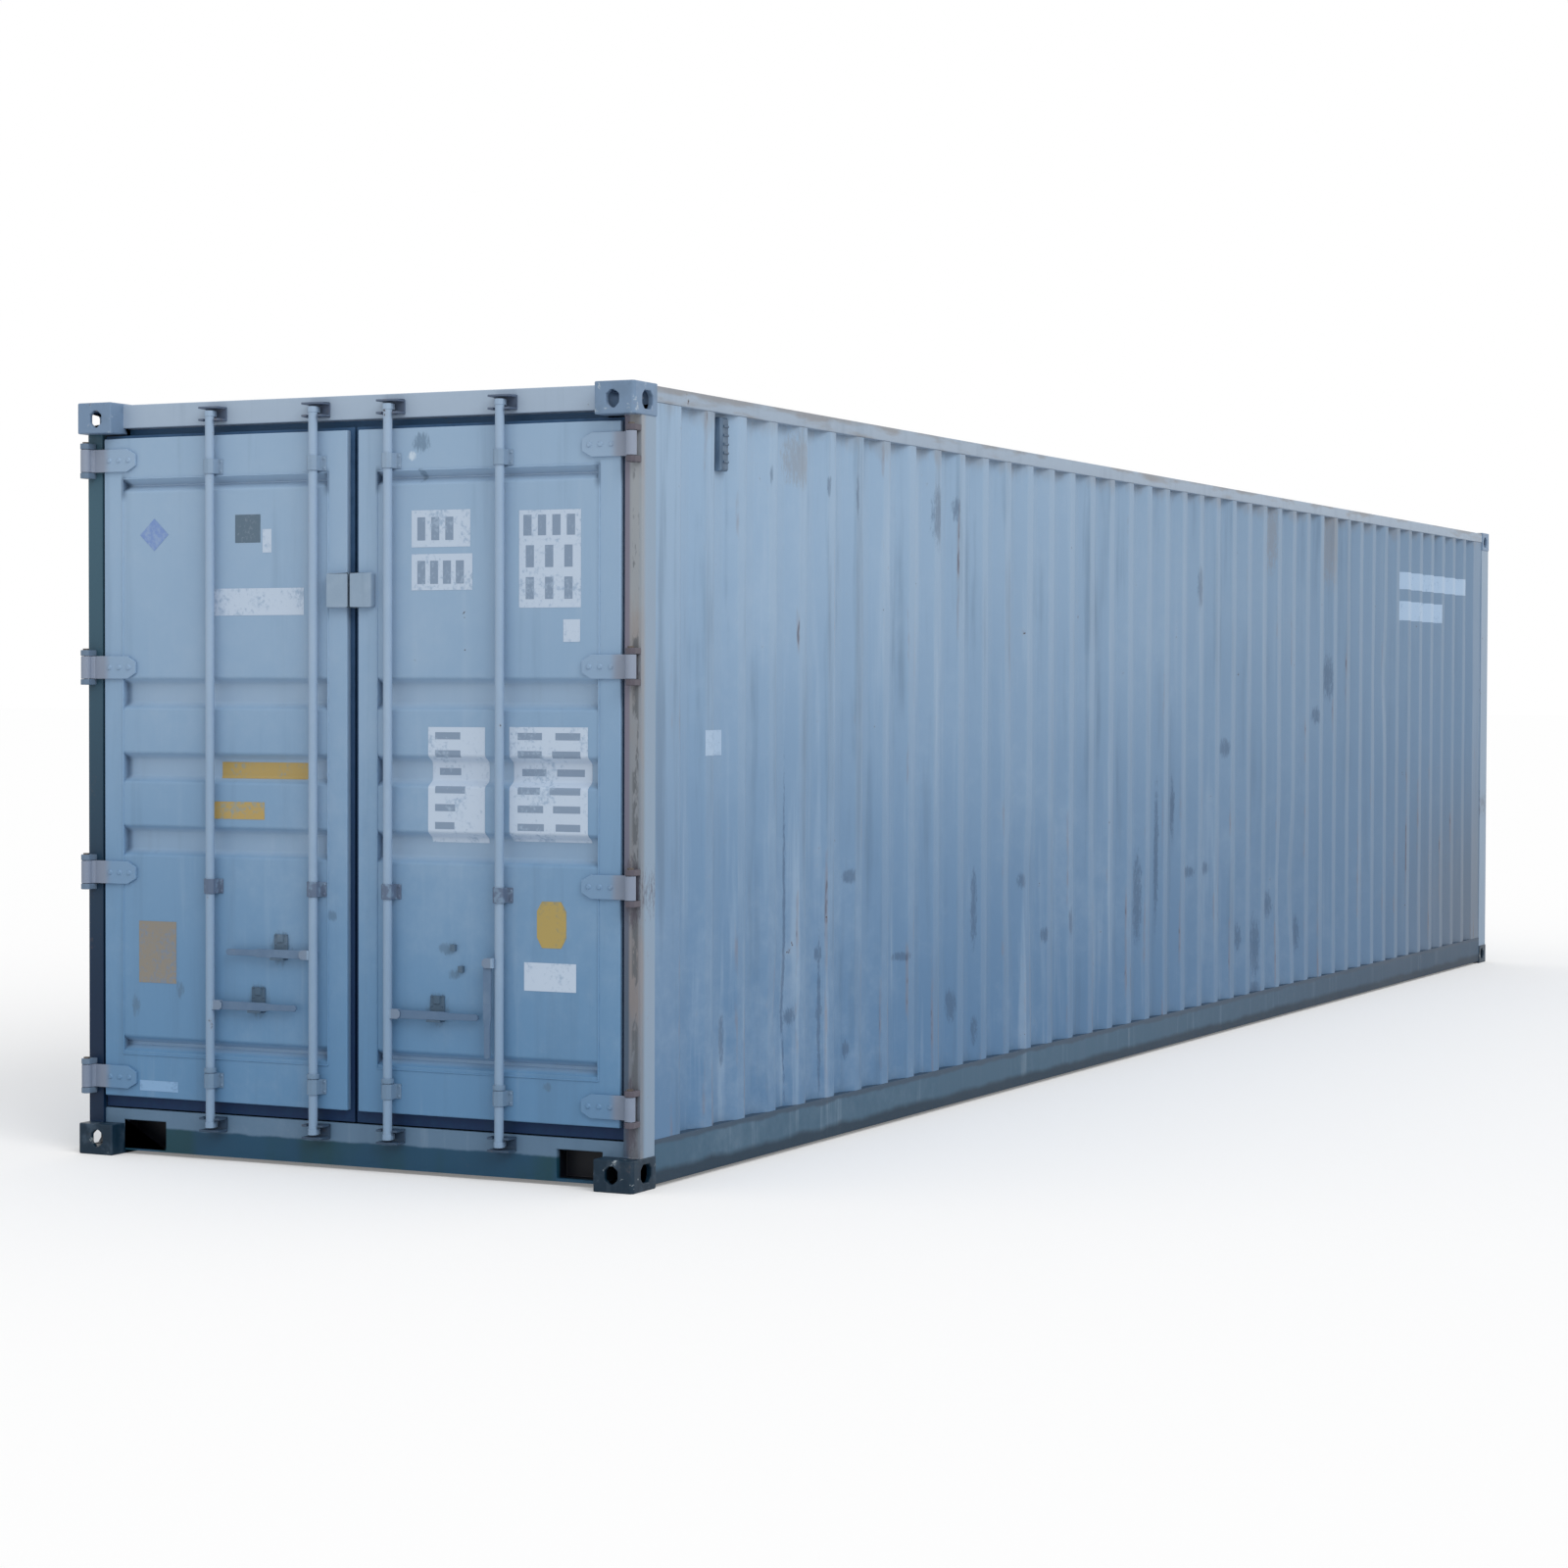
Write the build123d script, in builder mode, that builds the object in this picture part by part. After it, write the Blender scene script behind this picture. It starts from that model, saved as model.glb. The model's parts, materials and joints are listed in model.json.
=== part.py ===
from build123d import *
import os

# Forty foot high cube shipping container, in millimetres.
# X runs along the length with the doors at -X, Z is up, and the origin is the middle of the footprint.
# Left and right are as seen by someone who faces the doors, so left is +Y and right is -Y.

LENGTH = 12192.0
WIDTH = 2438.0
HEIGHT = 2896.0

# Corner castings, with the slots that twist locks enter
CASTING_LENGTH = 178.0
CASTING_WIDTH = 162.0
CASTING_HEIGHT = 118.0
CASTING_WALL = 20.0
CASTING_PLATE = 28.0
CASTING_EDGE = 10.0
SLOT_LENGTH = 124.0
SLOT_WIDTH = 63.5
SLOT_FROM_END = 103.5
SLOT_FROM_SIDE = 89.5
SIDE_HOLE_LENGTH = 80.0
END_HOLE_WIDTH = 52.0
HOLE_HEIGHT = 66.0
HOLE_CORNER = 18.0

# Rails and posts
BASE_CLEARANCE = 12.5
ROOF_CLEARANCE = 6.0
RAIL_INSET = 5.0
BOTTOM_RAIL_HEIGHT = 162.0
BOTTOM_RAIL_TOP_FLANGE = 48.0
BOTTOM_RAIL_LOWER_FLANGE = 30.0
BOTTOM_RAIL_SHEET = 4.5
TOP_RAIL_SIZE = 60.0
TOP_RAIL_SHEET = 3.0
POST_SETBACK = 66.0
POST_PLATE = 6.0
REAR_POST_WIDTH = 69.0
REAR_STOP_SETBACK = 125.0
REAR_STOP_WIDTH = 40.0
FRONT_POST_WIDTH = 86.0
FRONT_POST_LIP = 30.0

# Door header, door sill and the two front rails
HEADER_FACE_SETBACK = 80.0
HEADER_HEIGHT = 90.0
HEADER_STOP_DROP = 52.0
HEADER_PLATE = 6.0
SILL_BASE = 15.0
SILL_HEIGHT = 160.0
SILL_PLATE = 6.0
SILL_POCKET_WIDTH = 200.0
SILL_POCKET_HEIGHT = 118.0
SILL_POCKET_DEPTH = 80.0
SILL_POCKET_BASE = 20.0
FRONT_RAIL_HEIGHT = 80.0
FRONT_RAIL_DEPTH = 90.0
FRONT_SILL_HEIGHT = 157.0
FRONT_SILL_DEPTH = 110.0

# Corrugated sheets
WALL_SHEET = 2.0
WALL_INSET = 8.0
WALL_DEPTH = 36.0
WALL_PITCH = 267.5
WALL_OUTER_FLAT = 68.0
WALL_INNER_FLAT = 66.0
WALL_END_FLAT = 120.0
FRONT_SHEET = 2.0
FRONT_WALL_SETBACK = 14.0
FRONT_WALL_DEPTH = 45.0
FRONT_WALL_PITCH = 248.0
FRONT_OUTER_FLAT = 106.0
FRONT_INNER_FLAT = 106.0
FRONT_END_FLAT = 80.0
ROOF_SHEET = 2.0
ROOF_PITCH = 290.0
ROOF_TROUGH_WIDTH = 130.0
ROOF_TROUGH_DEPTH = 20.0
ROOF_TROUGH_MARGIN = 60.0
ROOF_TAPER = 38.0

# Floor and underframe
FLOOR_TOP = 170.0
BOARD_THICKNESS = 28.0
CENTRE_RAIL_WIDTH = 50.0
BEAM_HEIGHT = 122.0
BEAM_FLANGE = 45.0
BEAM_SHEET = 4.0
BEAM_PITCH = 305.0
TUNNEL_WIDTH = 1029.0
TUNNEL_LENGTH = 3315.0
TUNNEL_PLATE = 6.0
TUNNEL_HEIGHT = 124.0
THRESHOLD_LENGTH = 250.0
THRESHOLD_PLATE = 4.0

# Door leaves
SEAM_HALF = 24.0
LEAF_SETBACK = 60.0
LEAF_THICKNESS = 50.0
LEAF_SIDE_GAP = 12.0
LEAF_SILL_GAP = 50.0
LEAF_HEAD_GAP = 40.0
LEAF_TUBE_WALL = 3.2
HINGE_STILE = 88.0
SEAM_STILE = 84.0
TOP_STILE = 155.0
BOTTOM_STILE = 165.0
PANEL_SHEET = 2.5
PANEL_DEPTH = 34.0
GROOVE_SLOPE = 22.0
GROOVES = ((415.0, 448.0), (1170.0, 1262.0), (1452.0, 1542.0), (1734.0, 1828.0))
TOP_GROOVE_DROP = 39.0
TOP_GROOVE_WIDTH = 26.0
GASKET_SIDE = 7.0
GASKET_TOP = 12.0
GASKET_BOTTOM = 44.0
GASKET_SEAM_HALF = 5.0
GASKET_DEPTH = 33.0
GASKET_LIP = 8.0
GASKET_LAP = 20.0

# Hinges
PIN_INSET = 25.0
PIN_RADIUS = 8.0
PIN_CLEARANCE = 0.5
EYE_RADIUS = 20.0
BLADE_HEIGHT = 88.0
BLADE_LENGTH = 215.0
BLADE_PLATE = 12.0
BLADE_TIP = 40.0
BLADE_TIP_CUT = 22.0
BLADE_NECK = 4.0
LUG_HEIGHT = 22.0
LUG_CLEARANCE = 1.0
PIN_HEAD_HEIGHT = 6.0
PIN_HEAD_RADIUS = 12.0
HINGE_RISES = (300.0, 1090.0, 1880.0)
TOP_HINGE_DROP = 85.0
PIN_SIDES = 12
PIN_HEAD_SIDES = 6
OCTAGON_SIDES = 8
OCTAGON_TURN = 180 / OCTAGON_SIDES

# Lock rods, cams, keepers and guides
ROD_SETBACK = 30.0
ROD_RADIUS = 17.0
ROD_WALL = 3.5
ROD_PLACES = {"outer_left": 620.0, "inner_left": 155.0, "inner_right": -173.0, "outer_right": -650.0}
ROD_SILL_LAP = 45.0
ROD_TOP_SETBACK = 46.0
CAM_HEIGHT = 22.0
CAM_REACH = 35.0
CAM_TIP_WIDTH = 20.0
CAM_NECK_WIDTH = 36.0
CAM_BOSS_RADIUS = 20.0
KEEPER_WIDTH = 92.0
KEEPER_PLATE = 8.0
KEEPER_EAR = 8.0
KEEPER_GAP = 8.0
KEEPER_REACH = 60.0
KEEPER_NOTCH_CLEARANCE = 6.0
GUIDE_RISES = (310.0, 1050.0)
TOP_GUIDE_DROP = 120.0
GUIDE_HEIGHT = 56.0
GUIDE_WIDTH = 84.0
GUIDE_PLATE = 5.0
GUIDE_WALL = 5.0
ROD_CLEARANCE = 0.5

# Handles and their retainers
HANDLE_ARM = 40.0
HANDLE_LENGTH = 350.0
HANDLE_WIDTH = 32.0
HANDLE_THICKNESS = 9.0
HANDLE_GRIP_LENGTH = 120.0
HANDLE_GRIP_WIDTH = 24.0
HANDLE_GRIP_CORNER = 7.0
HANDLE_PIN_RADIUS = 6.0
HANDLE_PIN_CLEARANCE = 0.6
HANDLE_SIDES = {"outer_left": -1, "inner_left": 1, "inner_right": -1, "outer_right": 1}
HANDLE_STANDOFFS = {"outer_left": 0.0, "inner_left": 0.0, "inner_right": 0.0, "outer_right": 16.0}
FORK_PLATE = 6.0
FORK_HEIGHT = 36.0
FORK_CLEARANCE = 1.0
FORK_ROOT = 12.0
FORK_CORNER = 8.0
RETAINER_PLATE = 5.0
RETAINER_WIDTH = 60.0
RETAINER_HEIGHT = 96.0
RETAINER_SHELF = 8.0
RETAINER_REACH = 36.0
HASP_HEIGHT = 30.0
HASP_WIDTH = 26.0
HASP_PLATE = 5.0
RETAINER_PLACES = {"outer_left": 202.0, "inner_left": 161.0, "inner_right": 199.0}
REST_GAP = 0.3
HANDLE_HEIGHTS = {"outer_left": 600.0, "inner_left": 803.0, "inner_right": 600.0, "outer_right": 803.0}
STUB_HEIGHT = 24.0
STUB_WIDTH = 20.0
STUB_LENGTH = 16.0
STUBS = ((207.0, 48.0), (174.0, -30.0))

# Seal box over the seam, in two halves
SEAL_WIDTH = 100.0
SEAL_BASE = 2100.0
SEAL_HEIGHT = 130.0
SEAL_DEPTH = 28.0
SEAL_GAP_HALF = 3.0
SEAL_WALL = 3.0
SEAL_EDGE = 3.5

# Ventilators
VENT_WIDTH = 62.0
VENT_HEIGHT = 200.0
VENT_DEPTH = 30.0
VENT_TOP_GAP = 12.0
VENT_RECESS = 1
VENT_EDGE = 8.0

# Places that follow from the sizes above
REAR = -LENGTH / 2
FRONT = LENGTH / 2
SIDE = WIDTH / 2
INNER_REAR = REAR + CASTING_LENGTH
INNER_FRONT = FRONT - CASTING_LENGTH
RUN = INNER_FRONT - INNER_REAR
INNER_SIDE = SIDE - CASTING_WIDTH
RAIL_FACE = SIDE - RAIL_INSET
BOTTOM_RAIL_TOP = BASE_CLEARANCE + BOTTOM_RAIL_HEIGHT
ROOF_TOP = HEIGHT - ROOF_CLEARANCE
TOP_RAIL_BOTTOM = ROOF_TOP - TOP_RAIL_SIZE
POST_BOTTOM = CASTING_HEIGHT
POST_TOP = HEIGHT - CASTING_HEIGHT
REAR_POST_INNER = RAIL_FACE - REAR_POST_WIDTH
PIN_X = REAR + PIN_INSET
PIN_Y = SIDE - PIN_INSET
SILL_TOP = SILL_BASE + SILL_HEIGHT
HEADER_BOTTOM = ROOF_TOP - HEADER_HEIGHT
LEAF_FACE = REAR + LEAF_SETBACK
LEAF_BACK = LEAF_FACE + LEAF_THICKNESS
ROD_X = REAR + ROD_SETBACK
HEADER_FACE = REAR + HEADER_FACE_SETBACK
LEAF_EDGE = REAR_POST_INNER - LEAF_SIDE_GAP
LEAF_BOTTOM = SILL_TOP + LEAF_SILL_GAP
LEAF_TOP = HEADER_BOTTOM - LEAF_HEAD_GAP
HINGE_HEIGHTS = HINGE_RISES + (LEAF_TOP - TOP_HINGE_DROP,)
GUIDE_HEIGHTS = GUIDE_RISES + (LEAF_TOP - TOP_GUIDE_DROP,)
ROD_BOTTOM = SILL_TOP - ROD_SILL_LAP
ROD_TOP = HEIGHT - ROD_TOP_SETBACK
PANEL_NEAR = SEAM_HALF + SEAM_STILE
PANEL_FAR = LEAF_EDGE - HINGE_STILE
PANEL_BOTTOM = LEAF_BOTTOM + BOTTOM_STILE
PANEL_TOP = LEAF_TOP - TOP_STILE
TOP_GROOVE = (PANEL_TOP - TOP_GROOVE_DROP, PANEL_TOP - TOP_GROOVE_DROP + TOP_GROOVE_WIDTH)

os.makedirs("parts", exist_ok=True)


def save(part, name):
    part.label = name
    export_step(part, "parts/" + name + ".step")


def corrugation(start, pitch, outer_flat, inner_flat, depth, end_flat, end):
    """Corner points (along, inward) of as many trapezoid corrugations as fit between two flat ends."""
    slope = (pitch - outer_flat - inner_flat) / 2
    count = int((end - start - 2 * end_flat) / pitch)
    points = [(start, 0.0)]
    for index in range(count):
        along = start + (end - start - count * pitch) / 2 + index * pitch + outer_flat / 2
        points.append((along, 0.0))
        points.append((along + slope, depth))
        points.append((along + slope + inner_flat, depth))
        points.append((along + 2 * slope + inner_flat, 0.0))
    points.append((end, 0.0))
    return points


# Corner castings: hollow cast boxes with a slot below or above and a hole in each outer face
with BuildPart() as bottom_castings:
    with BuildSketch(Plane.XY):
        with Locations((FRONT - CASTING_LENGTH / 2, SIDE - CASTING_WIDTH / 2)):
            Rectangle(CASTING_LENGTH, CASTING_WIDTH)
    extrude(amount=CASTING_HEIGHT)
    corner_edge = bottom_castings.edges().filter_by(Axis.Z).sort_by(Axis.X)[-2:].sort_by(Axis.Y)[-1]
    chamfer(corner_edge, length=CASTING_EDGE)
    with BuildSketch(Plane.XY.offset(CASTING_PLATE)):
        with Locations((FRONT - CASTING_LENGTH / 2, SIDE - CASTING_WIDTH / 2)):
            Rectangle(CASTING_LENGTH - 2 * CASTING_WALL, CASTING_WIDTH - 2 * CASTING_WALL)
    extrude(amount=CASTING_HEIGHT - CASTING_PLATE - CASTING_WALL, mode=Mode.SUBTRACT)
    with BuildSketch(Plane.XY):
        with Locations((FRONT - SLOT_FROM_END, SIDE - SLOT_FROM_SIDE)):
            SlotOverall(SLOT_LENGTH, SLOT_WIDTH)
    extrude(amount=CASTING_PLATE, mode=Mode.SUBTRACT)
    hole_middle = CASTING_PLATE + (CASTING_HEIGHT - CASTING_PLATE - CASTING_WALL) / 2
    with BuildSketch(Plane.XZ.offset(-SIDE)):
        with Locations((FRONT - SLOT_FROM_END, hole_middle)):
            side_hole = Rectangle(SIDE_HOLE_LENGTH, HOLE_HEIGHT)
        chamfer(side_hole.vertices(), length=HOLE_CORNER)
    extrude(amount=CASTING_WALL, mode=Mode.SUBTRACT)
    with BuildSketch(Plane.YZ.offset(FRONT)):
        with Locations((SIDE - SLOT_FROM_SIDE, hole_middle)):
            end_hole = Rectangle(END_HOLE_WIDTH, HOLE_HEIGHT)
        chamfer(end_hole.vertices(), length=HOLE_CORNER)
    extrude(amount=-CASTING_WALL, mode=Mode.SUBTRACT)
    mirror(about=Plane.YZ)
    mirror(about=Plane.XZ)
save(bottom_castings.part, "corner_castings_bottom")

with BuildPart() as top_castings:
    mirror(objects=bottom_castings.part, about=Plane.XY.offset(HEIGHT / 2))
save(top_castings.part, "corner_castings_top")

# Side rails: a pressed channel below that opens inwards, and a square tube above
with BuildPart() as bottom_side_rails:
    with BuildSketch(Plane.YZ.offset(INNER_REAR)):
        with BuildLine():
            Polyline(
                (RAIL_FACE - BOTTOM_RAIL_TOP_FLANGE, BOTTOM_RAIL_TOP),
                (RAIL_FACE, BOTTOM_RAIL_TOP),
                (RAIL_FACE, BASE_CLEARANCE),
                (RAIL_FACE - BOTTOM_RAIL_LOWER_FLANGE, BASE_CLEARANCE),
            )
            offset(amount=BOTTOM_RAIL_SHEET, side=Side.RIGHT, kind=Kind.INTERSECTION)
        make_face()
    extrude(amount=RUN)
    mirror(about=Plane.XZ)
save(bottom_side_rails.part, "bottom_side_rails")

with BuildPart() as top_side_rails:
    with BuildSketch(Plane.YZ.offset(INNER_REAR)):
        with Locations((RAIL_FACE - TOP_RAIL_SIZE / 2, ROOF_TOP - TOP_RAIL_SIZE / 2)):
            Rectangle(TOP_RAIL_SIZE, TOP_RAIL_SIZE)
            Rectangle(TOP_RAIL_SIZE - 2 * TOP_RAIL_SHEET, TOP_RAIL_SIZE - 2 * TOP_RAIL_SHEET, mode=Mode.SUBTRACT)
    extrude(amount=RUN)
    mirror(about=Plane.XZ)
save(top_side_rails.part, "top_side_rails")

# Rear posts: a hollow section with a step that the door gasket closes on
with BuildPart() as rear_posts:
    with BuildSketch(Plane.XY.offset(POST_BOTTOM)):
        with BuildLine():
            Polyline(
                (REAR + POST_SETBACK, RAIL_FACE),
                (INNER_REAR, RAIL_FACE),
                (INNER_REAR, REAR_POST_INNER - REAR_STOP_WIDTH),
                (REAR + REAR_STOP_SETBACK, REAR_POST_INNER - REAR_STOP_WIDTH),
                (REAR + REAR_STOP_SETBACK, REAR_POST_INNER),
                (REAR + POST_SETBACK, REAR_POST_INNER),
                close=True,
            )
        make_face()
        offset(amount=-POST_PLATE, kind=Kind.INTERSECTION, mode=Mode.SUBTRACT)
    extrude(amount=POST_TOP - POST_BOTTOM)
    mirror(about=Plane.XZ)
save(rear_posts.part, "rear_corner_posts")

# Front posts: one bent plate, open towards the cargo space
with BuildPart() as front_posts:
    with BuildSketch(Plane.XY.offset(POST_BOTTOM)):
        with BuildLine():
            Polyline(
                (INNER_FRONT, RAIL_FACE - FRONT_POST_LIP),
                (INNER_FRONT, RAIL_FACE),
                (FRONT - RAIL_INSET, RAIL_FACE),
                (FRONT - RAIL_INSET, RAIL_FACE - FRONT_POST_WIDTH),
                (FRONT - RAIL_INSET - FRONT_POST_LIP, RAIL_FACE - FRONT_POST_WIDTH),
            )
            offset(amount=POST_PLATE, side=Side.RIGHT, kind=Kind.INTERSECTION)
        make_face()
    extrude(amount=POST_TOP - POST_BOTTOM)
    mirror(about=Plane.XZ)
save(front_posts.part, "front_corner_posts")

# Door header: a tube whose back wall hangs lower, as the stop for the top gasket
with BuildPart() as door_header:
    with BuildSketch(Plane.XZ.offset(-INNER_SIDE)):
        with BuildLine():
            Polyline(
                (HEADER_FACE, ROOF_TOP),
                (INNER_REAR, ROOF_TOP),
                (INNER_REAR, HEADER_BOTTOM - HEADER_STOP_DROP),
                (REAR + REAR_STOP_SETBACK, HEADER_BOTTOM - HEADER_STOP_DROP),
                (REAR + REAR_STOP_SETBACK, HEADER_BOTTOM),
                (HEADER_FACE, HEADER_BOTTOM),
                close=True,
            )
        make_face()
        offset(amount=-HEADER_PLATE, kind=Kind.INTERSECTION, mode=Mode.SUBTRACT)
    extrude(amount=2 * INNER_SIDE)
save(door_header.part, "door_header")

# Door sill: a channel that opens inwards, let into the castings, with a pocket beside each casting
with BuildPart() as door_sill:
    with BuildSketch(Plane.XZ.offset(-REAR_POST_INNER)):
        with BuildLine():
            Polyline(
                (INNER_REAR, SILL_BASE),
                (HEADER_FACE, SILL_BASE),
                (HEADER_FACE, SILL_TOP),
                (INNER_REAR, SILL_TOP),
            )
            offset(amount=SILL_PLATE, side=Side.RIGHT, kind=Kind.INTERSECTION)
        make_face()
    extrude(amount=2 * REAR_POST_INNER)
    pocket_middle = INNER_SIDE - SILL_POCKET_WIDTH / 2
    with BuildSketch(Plane.YZ.offset(HEADER_FACE)):
        with Locations((pocket_middle, SILL_POCKET_BASE + SILL_POCKET_HEIGHT / 2)):
            Rectangle(SILL_POCKET_WIDTH, SILL_POCKET_HEIGHT)
        with Locations((-pocket_middle, SILL_POCKET_BASE + SILL_POCKET_HEIGHT / 2)):
            Rectangle(SILL_POCKET_WIDTH, SILL_POCKET_HEIGHT)
    extrude(amount=SILL_POCKET_DEPTH)
    with BuildSketch(Plane.YZ.offset(HEADER_FACE)):
        with Locations((pocket_middle, SILL_POCKET_BASE + SILL_POCKET_HEIGHT / 2)):
            Rectangle(SILL_POCKET_WIDTH - 2 * SILL_PLATE, SILL_POCKET_HEIGHT - 2 * SILL_PLATE)
        with Locations((-pocket_middle, SILL_POCKET_BASE + SILL_POCKET_HEIGHT / 2)):
            Rectangle(SILL_POCKET_WIDTH - 2 * SILL_PLATE, SILL_POCKET_HEIGHT - 2 * SILL_PLATE)
    extrude(amount=SILL_POCKET_DEPTH - SILL_PLATE, mode=Mode.SUBTRACT)
    with BuildSketch(Plane.XY):
        for side in (1, -1):
            with Locations((INNER_REAR - CASTING_LENGTH / 2, side * (SIDE - CASTING_WIDTH / 2))):
                Rectangle(CASTING_LENGTH, CASTING_WIDTH)
    extrude(amount=CASTING_HEIGHT, mode=Mode.SUBTRACT)
    with BuildSketch(Plane.XY.offset(CASTING_HEIGHT)):
        stop_length = CASTING_LENGTH - REAR_STOP_SETBACK
        for side in (1, -1):
            with Locations((INNER_REAR - stop_length / 2, side * (REAR_POST_INNER - REAR_STOP_WIDTH / 2))):
                Rectangle(stop_length, REAR_STOP_WIDTH)
    extrude(amount=SILL_TOP - CASTING_HEIGHT, mode=Mode.SUBTRACT)
save(door_sill.part, "door_sill")

# Front rails: a tube above, and a channel below, let into the castings, with a notch for the tunnel
with BuildPart() as front_top_rail:
    with BuildSketch(Plane.XZ.offset(-INNER_SIDE)):
        with Locations((FRONT - RAIL_INSET - FRONT_RAIL_DEPTH / 2, ROOF_TOP - FRONT_RAIL_HEIGHT / 2)):
            Rectangle(FRONT_RAIL_DEPTH, FRONT_RAIL_HEIGHT)
            Rectangle(FRONT_RAIL_DEPTH - 2 * POST_PLATE, FRONT_RAIL_HEIGHT - 2 * POST_PLATE, mode=Mode.SUBTRACT)
    extrude(amount=2 * INNER_SIDE)
save(front_top_rail.part, "front_top_rail")

with BuildPart() as front_bottom_rail:
    front_face = FRONT - RAIL_INSET
    front_half = RAIL_FACE - FRONT_POST_WIDTH
    with BuildSketch(Plane.XZ.offset(-front_half)):
        with BuildLine():
            Polyline(
                (front_face - FRONT_SILL_DEPTH, BASE_CLEARANCE + FRONT_SILL_HEIGHT),
                (front_face, BASE_CLEARANCE + FRONT_SILL_HEIGHT),
                (front_face, BASE_CLEARANCE),
                (front_face - FRONT_SILL_DEPTH, BASE_CLEARANCE),
            )
            offset(amount=SILL_PLATE, side=Side.RIGHT, kind=Kind.INTERSECTION)
        make_face()
    extrude(amount=2 * front_half)
    with BuildSketch(Plane.YZ.offset(FRONT)):
        with Locations((0, TUNNEL_HEIGHT / 2)):
            Rectangle(TUNNEL_WIDTH, TUNNEL_HEIGHT)
    extrude(amount=-CASTING_LENGTH, mode=Mode.SUBTRACT)
    with BuildSketch(Plane.XY):
        for side in (1, -1):
            with Locations((FRONT - CASTING_LENGTH / 2, side * (SIDE - CASTING_WIDTH / 2))):
                Rectangle(CASTING_LENGTH, CASTING_WIDTH)
    extrude(amount=CASTING_HEIGHT, mode=Mode.SUBTRACT)
save(front_bottom_rail.part, "front_bottom_rail")

# Side walls: pressed sheet with upright corrugations, welded between the rails
with BuildPart() as right_wall:
    wall_face = WALL_INSET - SIDE
    with BuildSketch(Plane.XY.offset(BOTTOM_RAIL_TOP)):
        with BuildLine():
            Polyline([
                (along, wall_face + inward)
                for along, inward in corrugation(
                    INNER_REAR, WALL_PITCH, WALL_OUTER_FLAT, WALL_INNER_FLAT, WALL_DEPTH, WALL_END_FLAT, INNER_FRONT
                )
            ])
            offset(amount=WALL_SHEET, side=Side.LEFT, kind=Kind.INTERSECTION)
        make_face()
    extrude(amount=TOP_RAIL_BOTTOM - BOTTOM_RAIL_TOP)
save(right_wall.part, "right_wall")

with BuildPart() as left_wall:
    mirror(objects=right_wall.part, about=Plane.XZ)
save(left_wall.part, "left_wall")

# Front wall: deeper and steeper corrugations between the front posts
with BuildPart() as front_wall:
    front_wall_face = FRONT - FRONT_WALL_SETBACK
    with BuildSketch(Plane.XY.offset(BASE_CLEARANCE + FRONT_SILL_HEIGHT)):
        with BuildLine():
            Polyline([
                (front_wall_face - inward, along)
                for along, inward in corrugation(
                    -front_half,
                    FRONT_WALL_PITCH,
                    FRONT_OUTER_FLAT,
                    FRONT_INNER_FLAT,
                    FRONT_WALL_DEPTH,
                    FRONT_END_FLAT,
                    front_half,
                )
            ])
            offset(amount=FRONT_SHEET, side=Side.LEFT, kind=Kind.INTERSECTION)
        make_face()
    extrude(amount=ROOF_TOP - FRONT_RAIL_HEIGHT - BASE_CLEARANCE - FRONT_SILL_HEIGHT)
    with BuildSketch(Plane.XY.offset(POST_TOP)):
        for side in (1, -1):
            with Locations((FRONT - CASTING_LENGTH / 2, side * (SIDE - CASTING_WIDTH / 2))):
                Rectangle(CASTING_LENGTH, CASTING_WIDTH)
    extrude(amount=CASTING_HEIGHT, mode=Mode.SUBTRACT)
save(front_wall.part, "front_wall")

# Roof: flat sheet with shallow stamped troughs that run across it and end before the rails
with BuildPart() as roof:
    roof_start = INNER_REAR
    roof_end = FRONT - RAIL_INSET - FRONT_RAIL_DEPTH
    roof_half = RAIL_FACE - TOP_RAIL_SIZE
    trough_count = int((roof_end - roof_start - ROOF_TROUGH_MARGIN) / ROOF_PITCH)
    trough_length = 2 * (roof_half - ROOF_TROUGH_MARGIN)
    roof_middle = (roof_start + roof_end) / 2
    with BuildSketch(Plane.XY.offset(ROOF_TOP - ROOF_SHEET)):
        with Locations((roof_middle, 0)):
            Rectangle(roof_end - roof_start, 2 * roof_half)
    extrude(amount=ROOF_SHEET)
    with BuildSketch(Plane.XY.offset(ROOF_TOP - ROOF_SHEET)):
        with Locations((roof_middle, 0)):
            with GridLocations(ROOF_PITCH, trough_length, trough_count, 1):
                Rectangle(ROOF_TROUGH_WIDTH + 2 * ROOF_SHEET, trough_length + 2 * ROOF_SHEET)
    extrude(amount=-ROOF_TROUGH_DEPTH, taper=ROOF_TAPER)
    with BuildSketch(Plane.XY.offset(ROOF_TOP)):
        with Locations((roof_middle, 0)):
            with GridLocations(ROOF_PITCH, trough_length, trough_count, 1):
                Rectangle(ROOF_TROUGH_WIDTH, trough_length)
    extrude(amount=-ROOF_TROUGH_DEPTH, taper=ROOF_TAPER, mode=Mode.SUBTRACT)
    with BuildSketch(Plane.XY.offset(POST_TOP)):
        for side in (1, -1):
            with Locations((FRONT - CASTING_LENGTH / 2, side * (SIDE - CASTING_WIDTH / 2))):
                Rectangle(CASTING_LENGTH, CASTING_WIDTH)
    extrude(amount=CASTING_HEIGHT, mode=Mode.SUBTRACT)
save(roof.part, "roof")

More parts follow.
